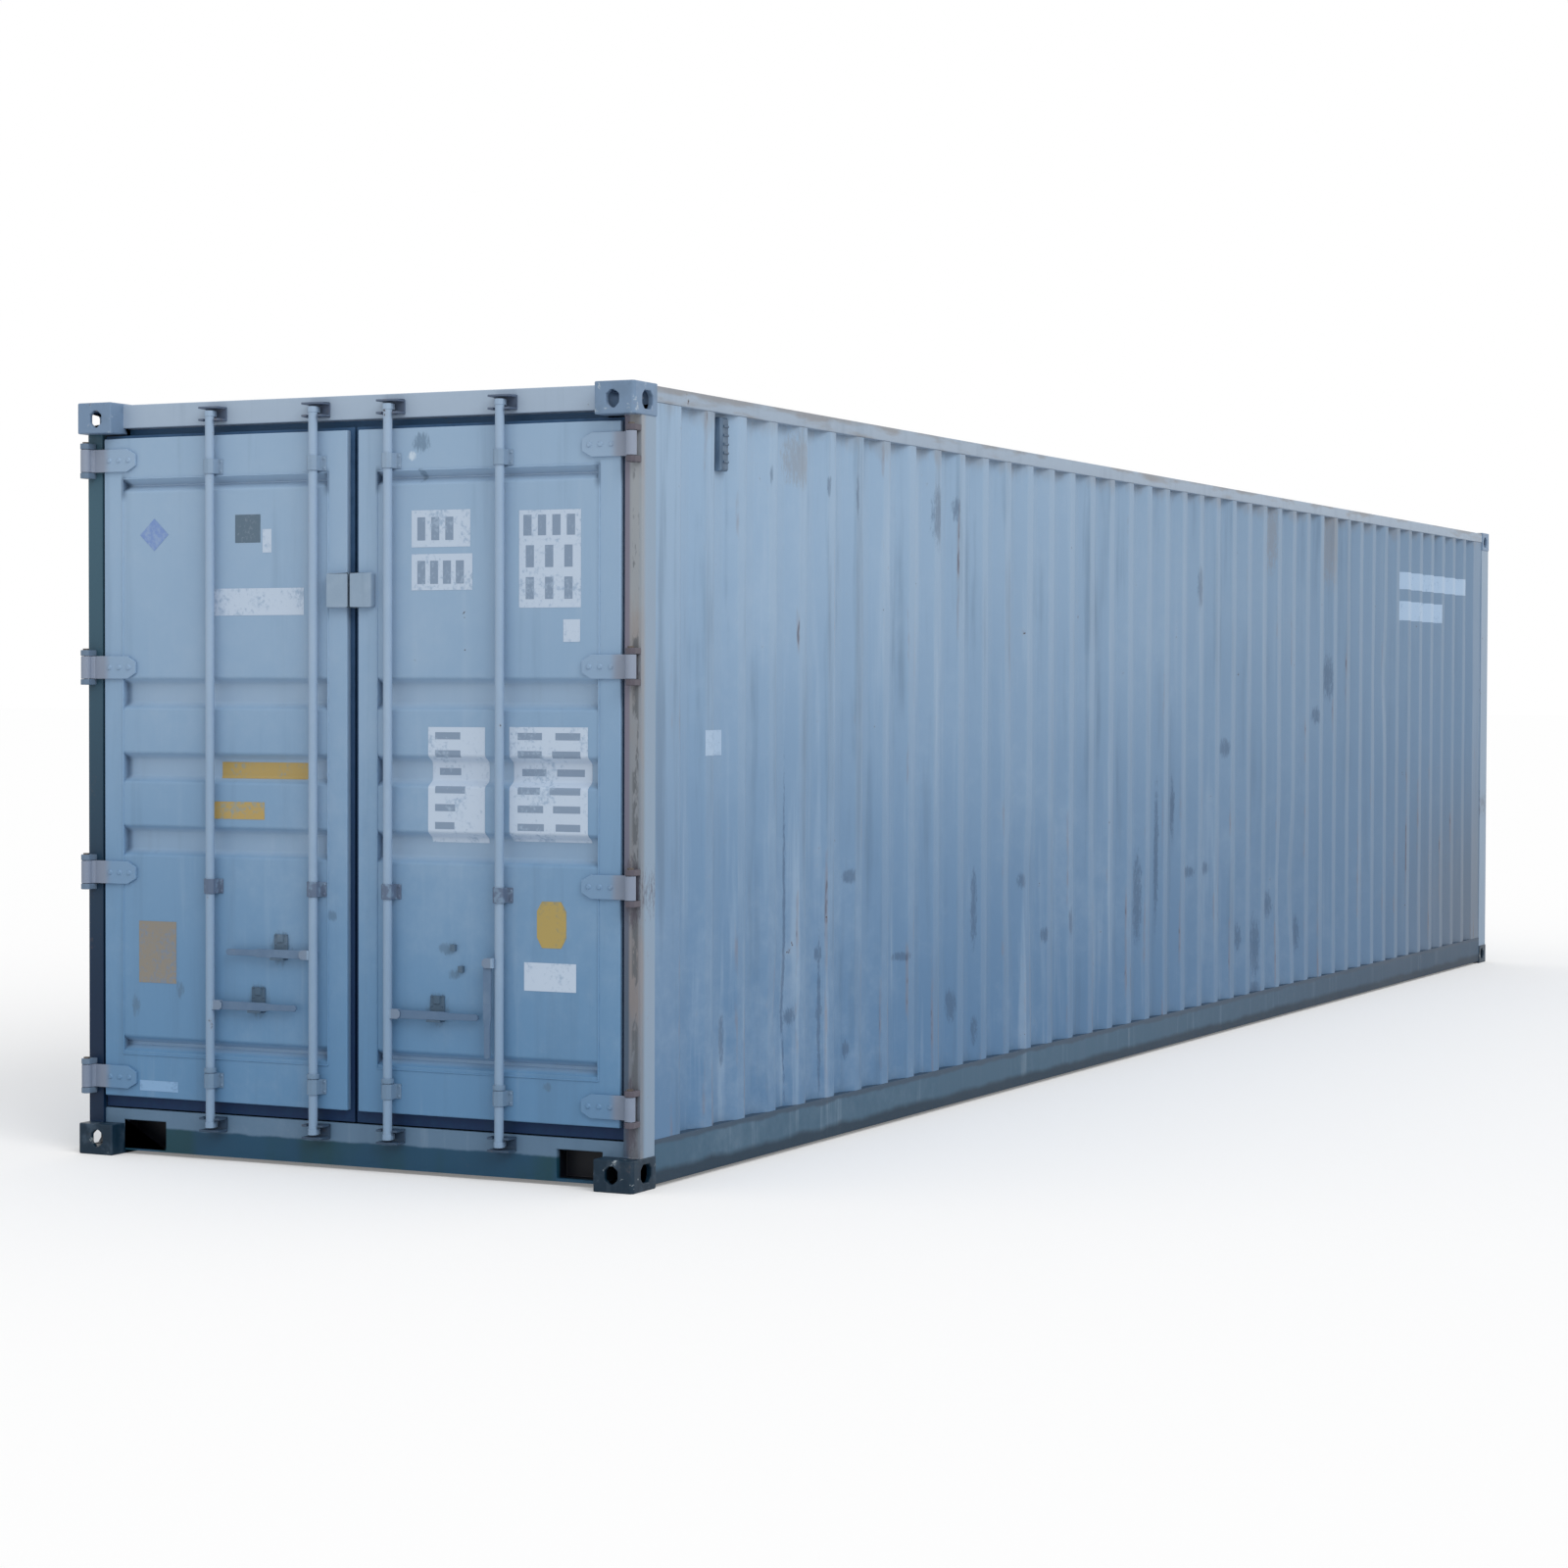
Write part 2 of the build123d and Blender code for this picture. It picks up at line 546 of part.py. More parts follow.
# Floor: plywood boards on cross members, split by a flat bar along the middle, with a steel threshold
with BuildPart() as floor_boards:
    board_start = INNER_REAR + THRESHOLD_LENGTH
    board_end = FRONT - RAIL_INSET - FRONT_SILL_DEPTH
    board_half = RAIL_FACE - BOTTOM_RAIL_TOP_FLANGE - BOTTOM_RAIL_SHEET
    board_width = board_half - CENTRE_RAIL_WIDTH / 2
    with BuildSketch(Plane.XY.offset(FLOOR_TOP - BOARD_THICKNESS)):
        for side in (1, -1):
            with Locations(((board_start + board_end) / 2, side * (board_half - board_width / 2))):
                Rectangle(board_end - board_start, board_width)
    extrude(amount=BOARD_THICKNESS)
save(floor_boards.part, "floor_boards")

with BuildPart() as floor_centre_rail:
    with BuildSketch(Plane.XY.offset(FLOOR_TOP - BOARD_THICKNESS)):
        with Locations(((board_start + board_end) / 2, 0)):
            Rectangle(board_end - board_start, CENTRE_RAIL_WIDTH)
    extrude(amount=BOARD_THICKNESS)
    with BuildSketch(Plane.XY.offset(FLOOR_TOP - BOARD_THICKNESS)):
        with Locations(((board_start + board_end) / 2, 0)):
            Rectangle(board_end - board_start, CENTRE_RAIL_WIDTH - 2 * THRESHOLD_PLATE)
    extrude(amount=BOARD_THICKNESS - THRESHOLD_PLATE, mode=Mode.SUBTRACT)
save(floor_centre_rail.part, "floor_centre_rail")

with BuildPart() as threshold_plate:
    with BuildSketch(Plane.XY.offset(FLOOR_TOP - THRESHOLD_PLATE)):
        with Locations((INNER_REAR + THRESHOLD_LENGTH / 2, 0)):
            Rectangle(THRESHOLD_LENGTH, 2 * board_half)
    extrude(amount=THRESHOLD_PLATE)
    with BuildSketch(Plane.XY.offset(FLOOR_TOP - BOARD_THICKNESS)):
        with Locations((board_start - THRESHOLD_PLATE / 2, 0)):
            Rectangle(THRESHOLD_PLATE, 2 * board_half)
    extrude(amount=BOARD_THICKNESS - THRESHOLD_PLATE)
save(threshold_plate.part, "threshold_plate")

# Underframe: channel cross members, short ones beside the tunnel, and the tunnel itself
beam_top = FLOOR_TOP - BOARD_THICKNESS
beam_half = RAIL_FACE - BOTTOM_RAIL_SHEET
tunnel_start = INNER_FRONT + CASTING_LENGTH - TUNNEL_LENGTH
full_beams = int((tunnel_start - INNER_REAR) / BEAM_PITCH)
short_beams = int((INNER_FRONT - tunnel_start) / BEAM_PITCH)


def channel_outline(start):
    """A channel that stands with its web at start and its flanges towards the front."""
    Polyline(
        (start + BEAM_FLANGE, beam_top),
        (start, beam_top),
        (start, beam_top - BEAM_HEIGHT),
        (start + BEAM_FLANGE, beam_top - BEAM_HEIGHT),
    )
    offset(amount=BEAM_SHEET, side=Side.LEFT, kind=Kind.INTERSECTION)


with BuildPart() as cross_members:
    for index in range(full_beams):
        with BuildSketch(Plane.XZ.offset(-beam_half)):
            with BuildLine():
                channel_outline(tunnel_start - TUNNEL_PLATE - BEAM_FLANGE - index * BEAM_PITCH)
            make_face()
        extrude(amount=2 * beam_half)
save(cross_members.part, "cross_members")

with BuildPart() as tunnel_outriggers:
    outrigger_start = TUNNEL_WIDTH / 2 + TUNNEL_PLATE
    for index in range(short_beams):
        with BuildSketch(Plane.XZ.offset(-beam_half)):
            with BuildLine():
                channel_outline(tunnel_start + BEAM_FLANGE + index * BEAM_PITCH)
            make_face()
        extrude(amount=beam_half - outrigger_start)
    mirror(about=Plane.XZ)
save(tunnel_outriggers.part, "tunnel_outriggers")

with BuildPart() as tunnel_plate:
    tunnel_end = FRONT - RAIL_INSET - FRONT_SILL_DEPTH
    with BuildSketch(Plane.XY.offset(beam_top - TUNNEL_PLATE)):
        with Locations(((tunnel_start + tunnel_end) / 2, 0)):
            Rectangle(tunnel_end - tunnel_start, TUNNEL_WIDTH + 2 * TUNNEL_PLATE)
    extrude(amount=TUNNEL_PLATE)
save(tunnel_plate.part, "gooseneck_tunnel_plate")

with BuildPart() as tunnel_webs:
    web_height = beam_top - TUNNEL_PLATE - BASE_CLEARANCE
    with BuildSketch(Plane.XY.offset(BASE_CLEARANCE)):
        for side in (1, -1):
            with Locations(((tunnel_start + tunnel_end) / 2, side * (TUNNEL_WIDTH + TUNNEL_PLATE) / 2)):
                Rectangle(tunnel_end - tunnel_start, TUNNEL_PLATE)
    extrude(amount=web_height)
save(tunnel_webs.part, "gooseneck_tunnel_webs")

# Hinges: lugs on the posts, forged blades on the doors and a headed pin through each
with BuildPart() as hinge_lugs:
    for height in HINGE_HEIGHTS:
        for lug_side in (1, -1):
            lug_middle = height + lug_side * (BLADE_HEIGHT / 2 + LUG_CLEARANCE + LUG_HEIGHT / 2)
            with BuildSketch(Plane.XY.offset(lug_middle - LUG_HEIGHT / 2)):
                with Locations((PIN_X, PIN_Y)):
                    RegularPolygon(EYE_RADIUS, OCTAGON_SIDES, major_radius=False, rotation=OCTAGON_TURN)
                with Locations(((PIN_X + REAR + POST_SETBACK) / 2, PIN_Y)):
                    Rectangle(POST_SETBACK - PIN_INSET, 2 * EYE_RADIUS)
                with Locations((PIN_X, PIN_Y)):
                    RegularPolygon(PIN_RADIUS, PIN_SIDES, mode=Mode.SUBTRACT)
            extrude(amount=LUG_HEIGHT)
    mirror(about=Plane.XZ)
save(hinge_lugs.part, "hinge_lugs")

with BuildPart() as hinge_pins:
    pin_half = BLADE_HEIGHT / 2 + LUG_CLEARANCE + LUG_HEIGHT
    for height in HINGE_HEIGHTS:
        with BuildSketch(Plane.XY.offset(height - pin_half)):
            with Locations((PIN_X, PIN_Y)):
                RegularPolygon(PIN_RADIUS, PIN_SIDES)
        extrude(amount=2 * pin_half + PIN_HEAD_HEIGHT)
        with BuildSketch(Plane.XY.offset(height + pin_half)):
            with Locations((PIN_X, PIN_Y)):
                RegularPolygon(PIN_HEAD_RADIUS, PIN_HEAD_SIDES)
        extrude(amount=PIN_HEAD_HEIGHT)
    mirror(about=Plane.XZ)
save(hinge_pins.part, "hinge_pins")

# Keepers: a plate, a whole ear and a slotted ear that the rod passes, open at the front for the cam
keeper_pieces = []
ear_place = CAM_HEIGHT / 2 + KEEPER_GAP + KEEPER_EAR / 2
jaw_inner = ROD_RADIUS + KEEPER_NOTCH_CLEARANCE
jaw_width = KEEPER_WIDTH / 2 - jaw_inner
ear_back = HEADER_FACE - KEEPER_PLATE
ear_front = HEADER_FACE - KEEPER_REACH
notch_back = ROD_X + jaw_inner
for rod_y in ROD_PLACES.values():
    for cam_middle, rod_side in ((ROD_BOTTOM + CAM_HEIGHT / 2, 1), (ROD_TOP - CAM_HEIGHT / 2, -1)):
        plate = Box(KEEPER_PLATE, KEEPER_WIDTH, 2 * ear_place + KEEPER_EAR)
        keeper_pieces.append(Pos(HEADER_FACE - KEEPER_PLATE / 2, rod_y, cam_middle) * plate)
        whole_ear = Box(ear_back - ear_front, KEEPER_WIDTH, KEEPER_EAR)
        keeper_pieces.append(Pos((ear_back + ear_front) / 2, rod_y, cam_middle - rod_side * ear_place) * whole_ear)
        jaw_z = cam_middle + rod_side * ear_place
        root = Box(ear_back - notch_back, 2 * jaw_inner, KEEPER_EAR)
        keeper_pieces.append(Pos((ear_back + notch_back) / 2, rod_y, jaw_z) * root)
        for side in (1, -1):
            jaw = Box(ear_back - ear_front, jaw_width, KEEPER_EAR)
            jaw_y = rod_y + side * (jaw_inner + jaw_width / 2)
            keeper_pieces.append(Pos((ear_back + ear_front) / 2, jaw_y, jaw_z) * jaw)
save(Compound([piece.solid() for piece in keeper_pieces]), "cam_keepers")

# Ventilators: a louvred box in a recess of each side wall, at opposite ends
with BuildPart() as ventilators:
    wall_count = int((RUN - 2 * WALL_END_FLAT) / WALL_PITCH)
    side_margin = (RUN - wall_count * WALL_PITCH) / 2
    wall_slope = (WALL_PITCH - WALL_OUTER_FLAT - WALL_INNER_FLAT) / 2
    vent_x = INNER_REAR + side_margin + VENT_RECESS * WALL_PITCH + (WALL_OUTER_FLAT + WALL_INNER_FLAT) / 2 + wall_slope
    recess_face = SIDE - WALL_INSET - WALL_DEPTH
    vent_top = TOP_RAIL_BOTTOM - VENT_TOP_GAP
    with BuildSketch(Plane.XY.offset(vent_top - VENT_HEIGHT)):
        with Locations((vent_x, -recess_face - VENT_DEPTH / 2)):
            Rectangle(VENT_WIDTH, VENT_DEPTH)
    extrude(amount=VENT_HEIGHT)
    chamfer(ventilators.faces().sort_by(Axis.Y)[0].edges(), length=VENT_EDGE)
    mirror(objects=mirror(objects=ventilators.part, about=Plane.YZ, mode=Mode.PRIVATE), about=Plane.XZ)
save(ventilators.part, "ventilators")


def leaf_outline(near, far, low, high):
    """Rectangle on the door plane from its seam side, hinge side, lower and upper edges."""
    with Locations(((near + far) / 2, (low + high) / 2)):
        Rectangle(far - near, high - low)


# Door leaf frame: rectangular tubes welded into a ring
with BuildPart() as left_frame:
    with BuildSketch(Plane.YZ.offset(LEAF_FACE)) as leaf_ring:
        leaf_outline(SEAM_HALF, LEAF_EDGE, LEAF_BOTTOM, LEAF_TOP)
        with Locations(((PANEL_NEAR + PANEL_FAR) / 2, (PANEL_BOTTOM + PANEL_TOP) / 2)):
            Rectangle(PANEL_FAR - PANEL_NEAR, PANEL_TOP - PANEL_BOTTOM, mode=Mode.SUBTRACT)
    extrude(amount=LEAF_THICKNESS)
    with BuildSketch(Plane.YZ.offset(LEAF_FACE + LEAF_TUBE_WALL)):
        add(leaf_ring.sketch_local)
        offset(amount=-LEAF_TUBE_WALL, kind=Kind.INTERSECTION, mode=Mode.REPLACE)
    extrude(amount=LEAF_THICKNESS - 2 * LEAF_TUBE_WALL, mode=Mode.SUBTRACT)
save(left_frame.part, "left_door_frame")

# Door panel: sheet pressed with level grooves, flush with the frame
with BuildPart() as left_panel:
    panel_points = [(LEAF_FACE, PANEL_BOTTOM)]
    for groove_low, groove_high in GROOVES + (TOP_GROOVE,):
        panel_points.append((LEAF_FACE, groove_low - GROOVE_SLOPE / 2))
        panel_points.append((LEAF_FACE + PANEL_DEPTH, groove_low + GROOVE_SLOPE / 2))
        panel_points.append((LEAF_FACE + PANEL_DEPTH, groove_high - GROOVE_SLOPE / 2))
        panel_points.append((LEAF_FACE, groove_high + GROOVE_SLOPE / 2))
    panel_points.append((LEAF_FACE, PANEL_TOP))
    with BuildSketch(Plane.XZ.offset(-PANEL_FAR)):
        with BuildLine():
            Polyline(panel_points)
            offset(amount=PANEL_SHEET, side=Side.RIGHT, kind=Kind.INTERSECTION)
        make_face()
    extrude(amount=PANEL_FAR - PANEL_NEAR)
save(left_panel.part, "left_door_panel")

# Door gasket: rubber around the leaf's edges, with a lip behind it
with BuildPart() as left_gasket:
    gasket_edges = (
        GASKET_SEAM_HALF,
        LEAF_EDGE + GASKET_SIDE,
        LEAF_BOTTOM - GASKET_BOTTOM,
        LEAF_TOP + GASKET_TOP,
    )
    with BuildSketch(Plane.YZ.offset(LEAF_BACK + GASKET_LIP - GASKET_DEPTH)):
        leaf_outline(*gasket_edges)
        with Locations(((SEAM_HALF + LEAF_EDGE) / 2, (LEAF_BOTTOM + LEAF_TOP) / 2)):
            Rectangle(LEAF_EDGE - SEAM_HALF, LEAF_TOP - LEAF_BOTTOM, mode=Mode.SUBTRACT)
    extrude(amount=GASKET_DEPTH)
    with BuildSketch(Plane.YZ.offset(LEAF_BACK)):
        leaf_outline(*gasket_edges)
        with Locations(((SEAM_HALF + LEAF_EDGE) / 2, (LEAF_BOTTOM + LEAF_TOP) / 2)):
            Rectangle(
                LEAF_EDGE - SEAM_HALF - 2 * GASKET_LAP,
                LEAF_TOP - LEAF_BOTTOM - 2 * GASKET_LAP,
                mode=Mode.SUBTRACT,
            )
    extrude(amount=GASKET_LIP)
save(left_gasket.part, "left_door_gasket")

# Hinge blades: an eye round the pin and an arm that is bolted flat on the leaf
with BuildPart() as left_blades:
    blade_base = LEAF_SETBACK - PIN_INSET
    for height in HINGE_HEIGHTS:
        with BuildSketch(Plane.XY.offset(height - BLADE_HEIGHT / 2)):
            with Locations((PIN_X, PIN_Y)):
                RegularPolygon(EYE_RADIUS, PIN_SIDES)
            with BuildLine():
                Polyline(
                    (PIN_X, PIN_Y),
                    (PIN_X + blade_base, PIN_Y),
                    (PIN_X + blade_base, PIN_Y - BLADE_LENGTH),
                    (PIN_X + blade_base - BLADE_PLATE, PIN_Y - BLADE_LENGTH),
                    (PIN_X + blade_base - BLADE_PLATE, PIN_Y - EYE_RADIUS - BLADE_NECK),
                    (PIN_X + BLADE_NECK, PIN_Y - EYE_RADIUS + BLADE_NECK),
                    close=True,
                )
            make_face()
            with Locations((PIN_X, PIN_Y)):
                Circle(PIN_RADIUS + PIN_CLEARANCE, mode=Mode.SUBTRACT)
        extrude(amount=BLADE_HEIGHT)
    tips = left_blades.edges().filter_by(Axis.X).group_by(Axis.Y)[0]
    chamfer(tips, length=BLADE_TIP_CUT, length2=BLADE_TIP)
save(left_blades.part, "left_hinge_blades")

# Seal box: a folded cover over the seam, one half on each leaf
with BuildPart() as left_seal_box:
    with BuildSketch(Plane.YZ.offset(LEAF_FACE)):
        leaf_outline(SEAL_GAP_HALF, SEAL_WIDTH, SEAL_BASE, SEAL_BASE + SEAL_HEIGHT)
    extrude(amount=-SEAL_DEPTH)
    chamfer(left_seal_box.faces().sort_by(Axis.X)[0].edges().sort_by(Axis.Y)[1:], length=SEAL_EDGE)
    with BuildSketch(Plane.YZ.offset(LEAF_FACE)):
        leaf_outline(
            SEAL_GAP_HALF + SEAL_WALL,
            SEAL_WIDTH - SEAL_WALL,
            SEAL_BASE + SEAL_WALL,
            SEAL_BASE + SEAL_HEIGHT - SEAL_WALL,
        )
    extrude(amount=SEAL_WALL - SEAL_DEPTH, mode=Mode.SUBTRACT)
save(left_seal_box.part, "left_seal_box")

# The right leaf is the left one mirrored
for left_piece, name in (
    (left_frame, "door_frame"),
    (left_panel, "door_panel"),
    (left_gasket, "door_gasket"),
    (left_blades, "hinge_blades"),
    (left_seal_box, "seal_box"),
):
    with BuildPart() as right_piece:
        mirror(objects=left_piece.part, about=Plane.XZ)
    save(right_piece.part, "right_" + name)

# Lock rod guides: a plate on the leaf and a saddle round the rod
for door, rods in (("left", ("outer_left", "inner_left")), ("right", ("inner_right", "outer_right"))):
    guide_bore = ROD_RADIUS + ROD_CLEARANCE
    with BuildPart() as rod_guides:
        for rod in rods:
            for height in GUIDE_HEIGHTS:
                with BuildSketch(Plane.XY.offset(height - GUIDE_HEIGHT / 2)):
                    with Locations((LEAF_FACE - GUIDE_PLATE / 2, ROD_PLACES[rod])):
                        Rectangle(GUIDE_PLATE, GUIDE_WIDTH)
                    with Locations((ROD_X, ROD_PLACES[rod])):
                        RegularPolygon(guide_bore + GUIDE_WALL, OCTAGON_SIDES, major_radius=False, rotation=OCTAGON_TURN)
                    with Locations(((ROD_X + LEAF_FACE) / 2, ROD_PLACES[rod])):
                        Rectangle(LEAF_FACE - ROD_X, 2 * (guide_bore + GUIDE_WALL))
                    with Locations((ROD_X, ROD_PLACES[rod])):
                        RegularPolygon(guide_bore, PIN_SIDES, major_radius=False, mode=Mode.SUBTRACT)
                extrude(amount=GUIDE_HEIGHT)
    save(rod_guides.part, door + "_rod_guides")

# Lock rods: a tube, a cam welded on each end and a forked hub for the handle
for rod, rod_y in ROD_PLACES.items():
    handle_z = HANDLE_HEIGHTS[rod]
    handle_side = HANDLE_SIDES[rod]
    pin_y = rod_y + handle_side * HANDLE_ARM
    handle_x = ROD_X - HANDLE_STANDOFFS[rod]
    fork_inner = HANDLE_THICKNESS / 2 + FORK_CLEARANCE
    fork_outer = fork_inner + FORK_PLATE
    web_end = HANDLE_ARM - HANDLE_WIDTH / 2 - FORK_CLEARANCE
    with BuildPart() as tube:
        with BuildSketch(Plane.XY.offset(ROD_BOTTOM + CAM_HEIGHT)):
            with Locations((ROD_X, rod_y)):
                Circle(ROD_RADIUS)
                RegularPolygon(ROD_RADIUS - ROD_WALL, PIN_SIDES, mode=Mode.SUBTRACT)
        extrude(amount=ROD_TOP - ROD_BOTTOM - 2 * CAM_HEIGHT)
    with BuildPart() as cams:
        for cam_base in (ROD_BOTTOM, ROD_TOP - CAM_HEIGHT):
            with BuildSketch(Plane.XY.offset(cam_base)):
                with Locations((ROD_X, rod_y)):
                    RegularPolygon(CAM_BOSS_RADIUS, OCTAGON_SIDES, rotation=OCTAGON_TURN)
                with BuildLine():
                    Polyline(
                        (ROD_X, rod_y - CAM_NECK_WIDTH / 2),
                        (ROD_X + CAM_REACH, rod_y - CAM_TIP_WIDTH / 2),
                        (ROD_X + CAM_REACH, rod_y + CAM_TIP_WIDTH / 2),
                        (ROD_X, rod_y + CAM_NECK_WIDTH / 2),
                        close=True,
                    )
                make_face()
            extrude(amount=CAM_HEIGHT)
    with BuildPart() as hub:
        for fork_start in (handle_x + fork_inner, handle_x - fork_outer):
            with BuildSketch(Plane.YZ.offset(fork_start)):
                with BuildLine():
                    Polyline(
                        (rod_y + handle_side * FORK_ROOT, handle_z - FORK_HEIGHT / 2),
                        (pin_y + handle_side * FORK_CORNER, handle_z - FORK_HEIGHT / 2),
                        (pin_y + handle_side * FORK_HEIGHT / 2, handle_z - FORK_CORNER),
                        (pin_y + handle_side * FORK_HEIGHT / 2, handle_z + FORK_CORNER),
                        (pin_y + handle_side * FORK_CORNER, handle_z + FORK_HEIGHT / 2),
                        (rod_y + handle_side * FORK_ROOT, handle_z + FORK_HEIGHT / 2),
                        close=True,
                    )
                make_face()
            extrude(amount=FORK_PLATE)
        with BuildSketch(Plane.YZ.offset(handle_x - fork_outer)):
            with Locations((rod_y + handle_side * (FORK_ROOT + web_end) / 2, handle_z)):
                Rectangle(web_end - FORK_ROOT, FORK_HEIGHT)
        extrude(amount=2 * fork_outer + HANDLE_STANDOFFS[rod] / 2)
        with BuildSketch(Plane.YZ.offset(handle_x - fork_inner)):
            with Locations((pin_y, handle_z)):
                Circle(HANDLE_PIN_RADIUS)
        extrude(amount=2 * fork_inner)
        with BuildSketch(Plane.XY.offset(handle_z - FORK_HEIGHT / 2)):
            with Locations((ROD_X, rod_y)):
                Circle(ROD_RADIUS)
        extrude(amount=FORK_HEIGHT, mode=Mode.SUBTRACT)
    save(Compound(tube.solids() + cams.solids() + hub.solids()), "lock_rod_" + rod)

# Handles: flat bars with an eye, narrower at the grip; the one on the outer right rod hangs down
for rod, rod_y in ROD_PLACES.items():
    handle_z = HANDLE_HEIGHTS[rod]
    handle_side = HANDLE_SIDES[rod]
    pin_y = rod_y + handle_side * HANDLE_ARM
    handle_x = ROD_X - HANDLE_STANDOFFS[rod]
    along = (0, handle_side, 0) if rod in RETAINER_PLACES else (0, 0, -1)
    grip_start = HANDLE_LENGTH - HANDLE_GRIP_LENGTH
    with BuildPart() as handle:
        with BuildSketch(Plane((handle_x - HANDLE_THICKNESS / 2, pin_y, handle_z), x_dir=along, z_dir=(1, 0, 0))):
            RegularPolygon(HANDLE_WIDTH / 2, PIN_SIDES)
            with BuildLine():
                Polyline(
                    (0, -HANDLE_WIDTH / 2),
                    (grip_start - HANDLE_GRIP_WIDTH, -HANDLE_WIDTH / 2),
                    (grip_start, -HANDLE_GRIP_WIDTH / 2),
                    (HANDLE_LENGTH - HANDLE_GRIP_CORNER, -HANDLE_GRIP_WIDTH / 2),
                    (HANDLE_LENGTH, HANDLE_GRIP_CORNER - HANDLE_GRIP_WIDTH / 2),
                    (HANDLE_LENGTH, HANDLE_GRIP_WIDTH / 2 - HANDLE_GRIP_CORNER),
                    (HANDLE_LENGTH - HANDLE_GRIP_CORNER, HANDLE_GRIP_WIDTH / 2),
                    (grip_start, HANDLE_GRIP_WIDTH / 2),
                    (grip_start - HANDLE_GRIP_WIDTH, HANDLE_WIDTH / 2),
                    (0, HANDLE_WIDTH / 2),
                    close=True,
                )
            make_face()
            RegularPolygon(
                HANDLE_PIN_RADIUS + HANDLE_PIN_CLEARANCE, PIN_SIDES, major_radius=False, mode=Mode.SUBTRACT
            )
        extrude(amount=HANDLE_THICKNESS)
    save(handle.part, "handle_" + rod)

# Handle retainers: a plate on the leaf with a shelf under the handle and a hasp folded flat above it
for door, rods in (("left", ("outer_left", "inner_left")), ("right", ("inner_right",))):
    with BuildPart() as retainers:
        for rod in rods:
            retainer_y = ROD_PLACES[rod] + HANDLE_SIDES[rod] * RETAINER_PLACES[rod]
            shelf_top = HANDLE_HEIGHTS[rod] - HANDLE_WIDTH / 2 - REST_GAP
            plate_bottom = shelf_top - RETAINER_SHELF
            with BuildSketch(Plane.YZ.offset(LEAF_FACE)):
                with Locations((retainer_y, plate_bottom + RETAINER_HEIGHT / 2)):
                    Rectangle(RETAINER_WIDTH, RETAINER_HEIGHT)
            extrude(amount=-RETAINER_PLATE)
            with BuildSketch(Plane.YZ.offset(LEAF_FACE)):
                with Locations((retainer_y, plate_bottom + RETAINER_SHELF / 2)):
                    Rectangle(RETAINER_WIDTH, RETAINER_SHELF)
            extrude(amount=-RETAINER_REACH)
            with BuildSketch(Plane.YZ.offset(LEAF_FACE)):
                with Locations((retainer_y, plate_bottom + RETAINER_HEIGHT - HASP_HEIGHT / 2)):
                    Rectangle(HASP_WIDTH, HASP_HEIGHT)
            extrude(amount=-RETAINER_PLATE - HASP_PLATE)
        if door == "right":
            for stub_y, stub_z in STUBS:
                with BuildSketch(Plane.YZ.offset(LEAF_FACE)):
                    with Locations((ROD_PLACES["outer_right"] + stub_y, HANDLE_HEIGHTS["outer_right"] + stub_z)):
                        Rectangle(STUB_WIDTH, STUB_HEIGHT)
                extrude(amount=-STUB_LENGTH)
    save(retainers.part, door + "_handle_retainers")
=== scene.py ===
import json
import math
import random

import bmesh
import bpy
from mathutils import Matrix, Vector, noise

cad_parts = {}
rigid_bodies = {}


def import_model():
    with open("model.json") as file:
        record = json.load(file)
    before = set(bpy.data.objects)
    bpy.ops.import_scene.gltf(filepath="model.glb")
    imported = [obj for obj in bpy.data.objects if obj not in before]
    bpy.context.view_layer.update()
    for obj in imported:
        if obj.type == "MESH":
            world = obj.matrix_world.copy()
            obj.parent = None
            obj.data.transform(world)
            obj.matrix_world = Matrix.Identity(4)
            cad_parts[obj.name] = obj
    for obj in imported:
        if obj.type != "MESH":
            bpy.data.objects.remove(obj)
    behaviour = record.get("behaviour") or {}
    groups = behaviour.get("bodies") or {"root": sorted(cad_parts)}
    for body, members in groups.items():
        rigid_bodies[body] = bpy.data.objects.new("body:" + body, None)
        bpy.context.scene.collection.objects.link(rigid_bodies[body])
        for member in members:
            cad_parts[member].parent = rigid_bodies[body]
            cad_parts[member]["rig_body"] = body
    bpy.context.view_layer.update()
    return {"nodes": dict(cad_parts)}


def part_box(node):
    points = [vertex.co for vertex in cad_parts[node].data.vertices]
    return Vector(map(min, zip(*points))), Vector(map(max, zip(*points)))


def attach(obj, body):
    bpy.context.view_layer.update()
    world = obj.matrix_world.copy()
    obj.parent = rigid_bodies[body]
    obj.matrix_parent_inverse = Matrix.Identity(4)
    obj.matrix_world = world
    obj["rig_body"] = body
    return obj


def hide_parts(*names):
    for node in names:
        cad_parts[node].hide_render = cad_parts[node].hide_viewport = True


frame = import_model()
nodes = frame["nodes"]

# The floor, the sky and the camera.
# The container stands on a plain pale floor under soft daylight, seen from a person's
# eye height near the door end.
FLOOR_HALF = 400.0
FLOOR_TONE = 0.8
SKY_STRENGTH = 0.78
SUN_STRENGTH = 1.1
SUN_SPREAD = math.radians(35)
SUN_FROM = Vector((-0.42, -0.72, 0.62))
EYE = Vector((-16.7406, -6.9509, 1.7680))
EYE_HEADING = math.radians(25.7686)
EYE_PITCH = math.radians(-1.4369)
EYE_ROLL = math.radians(0.1782)
EYE_LENS = 78.14


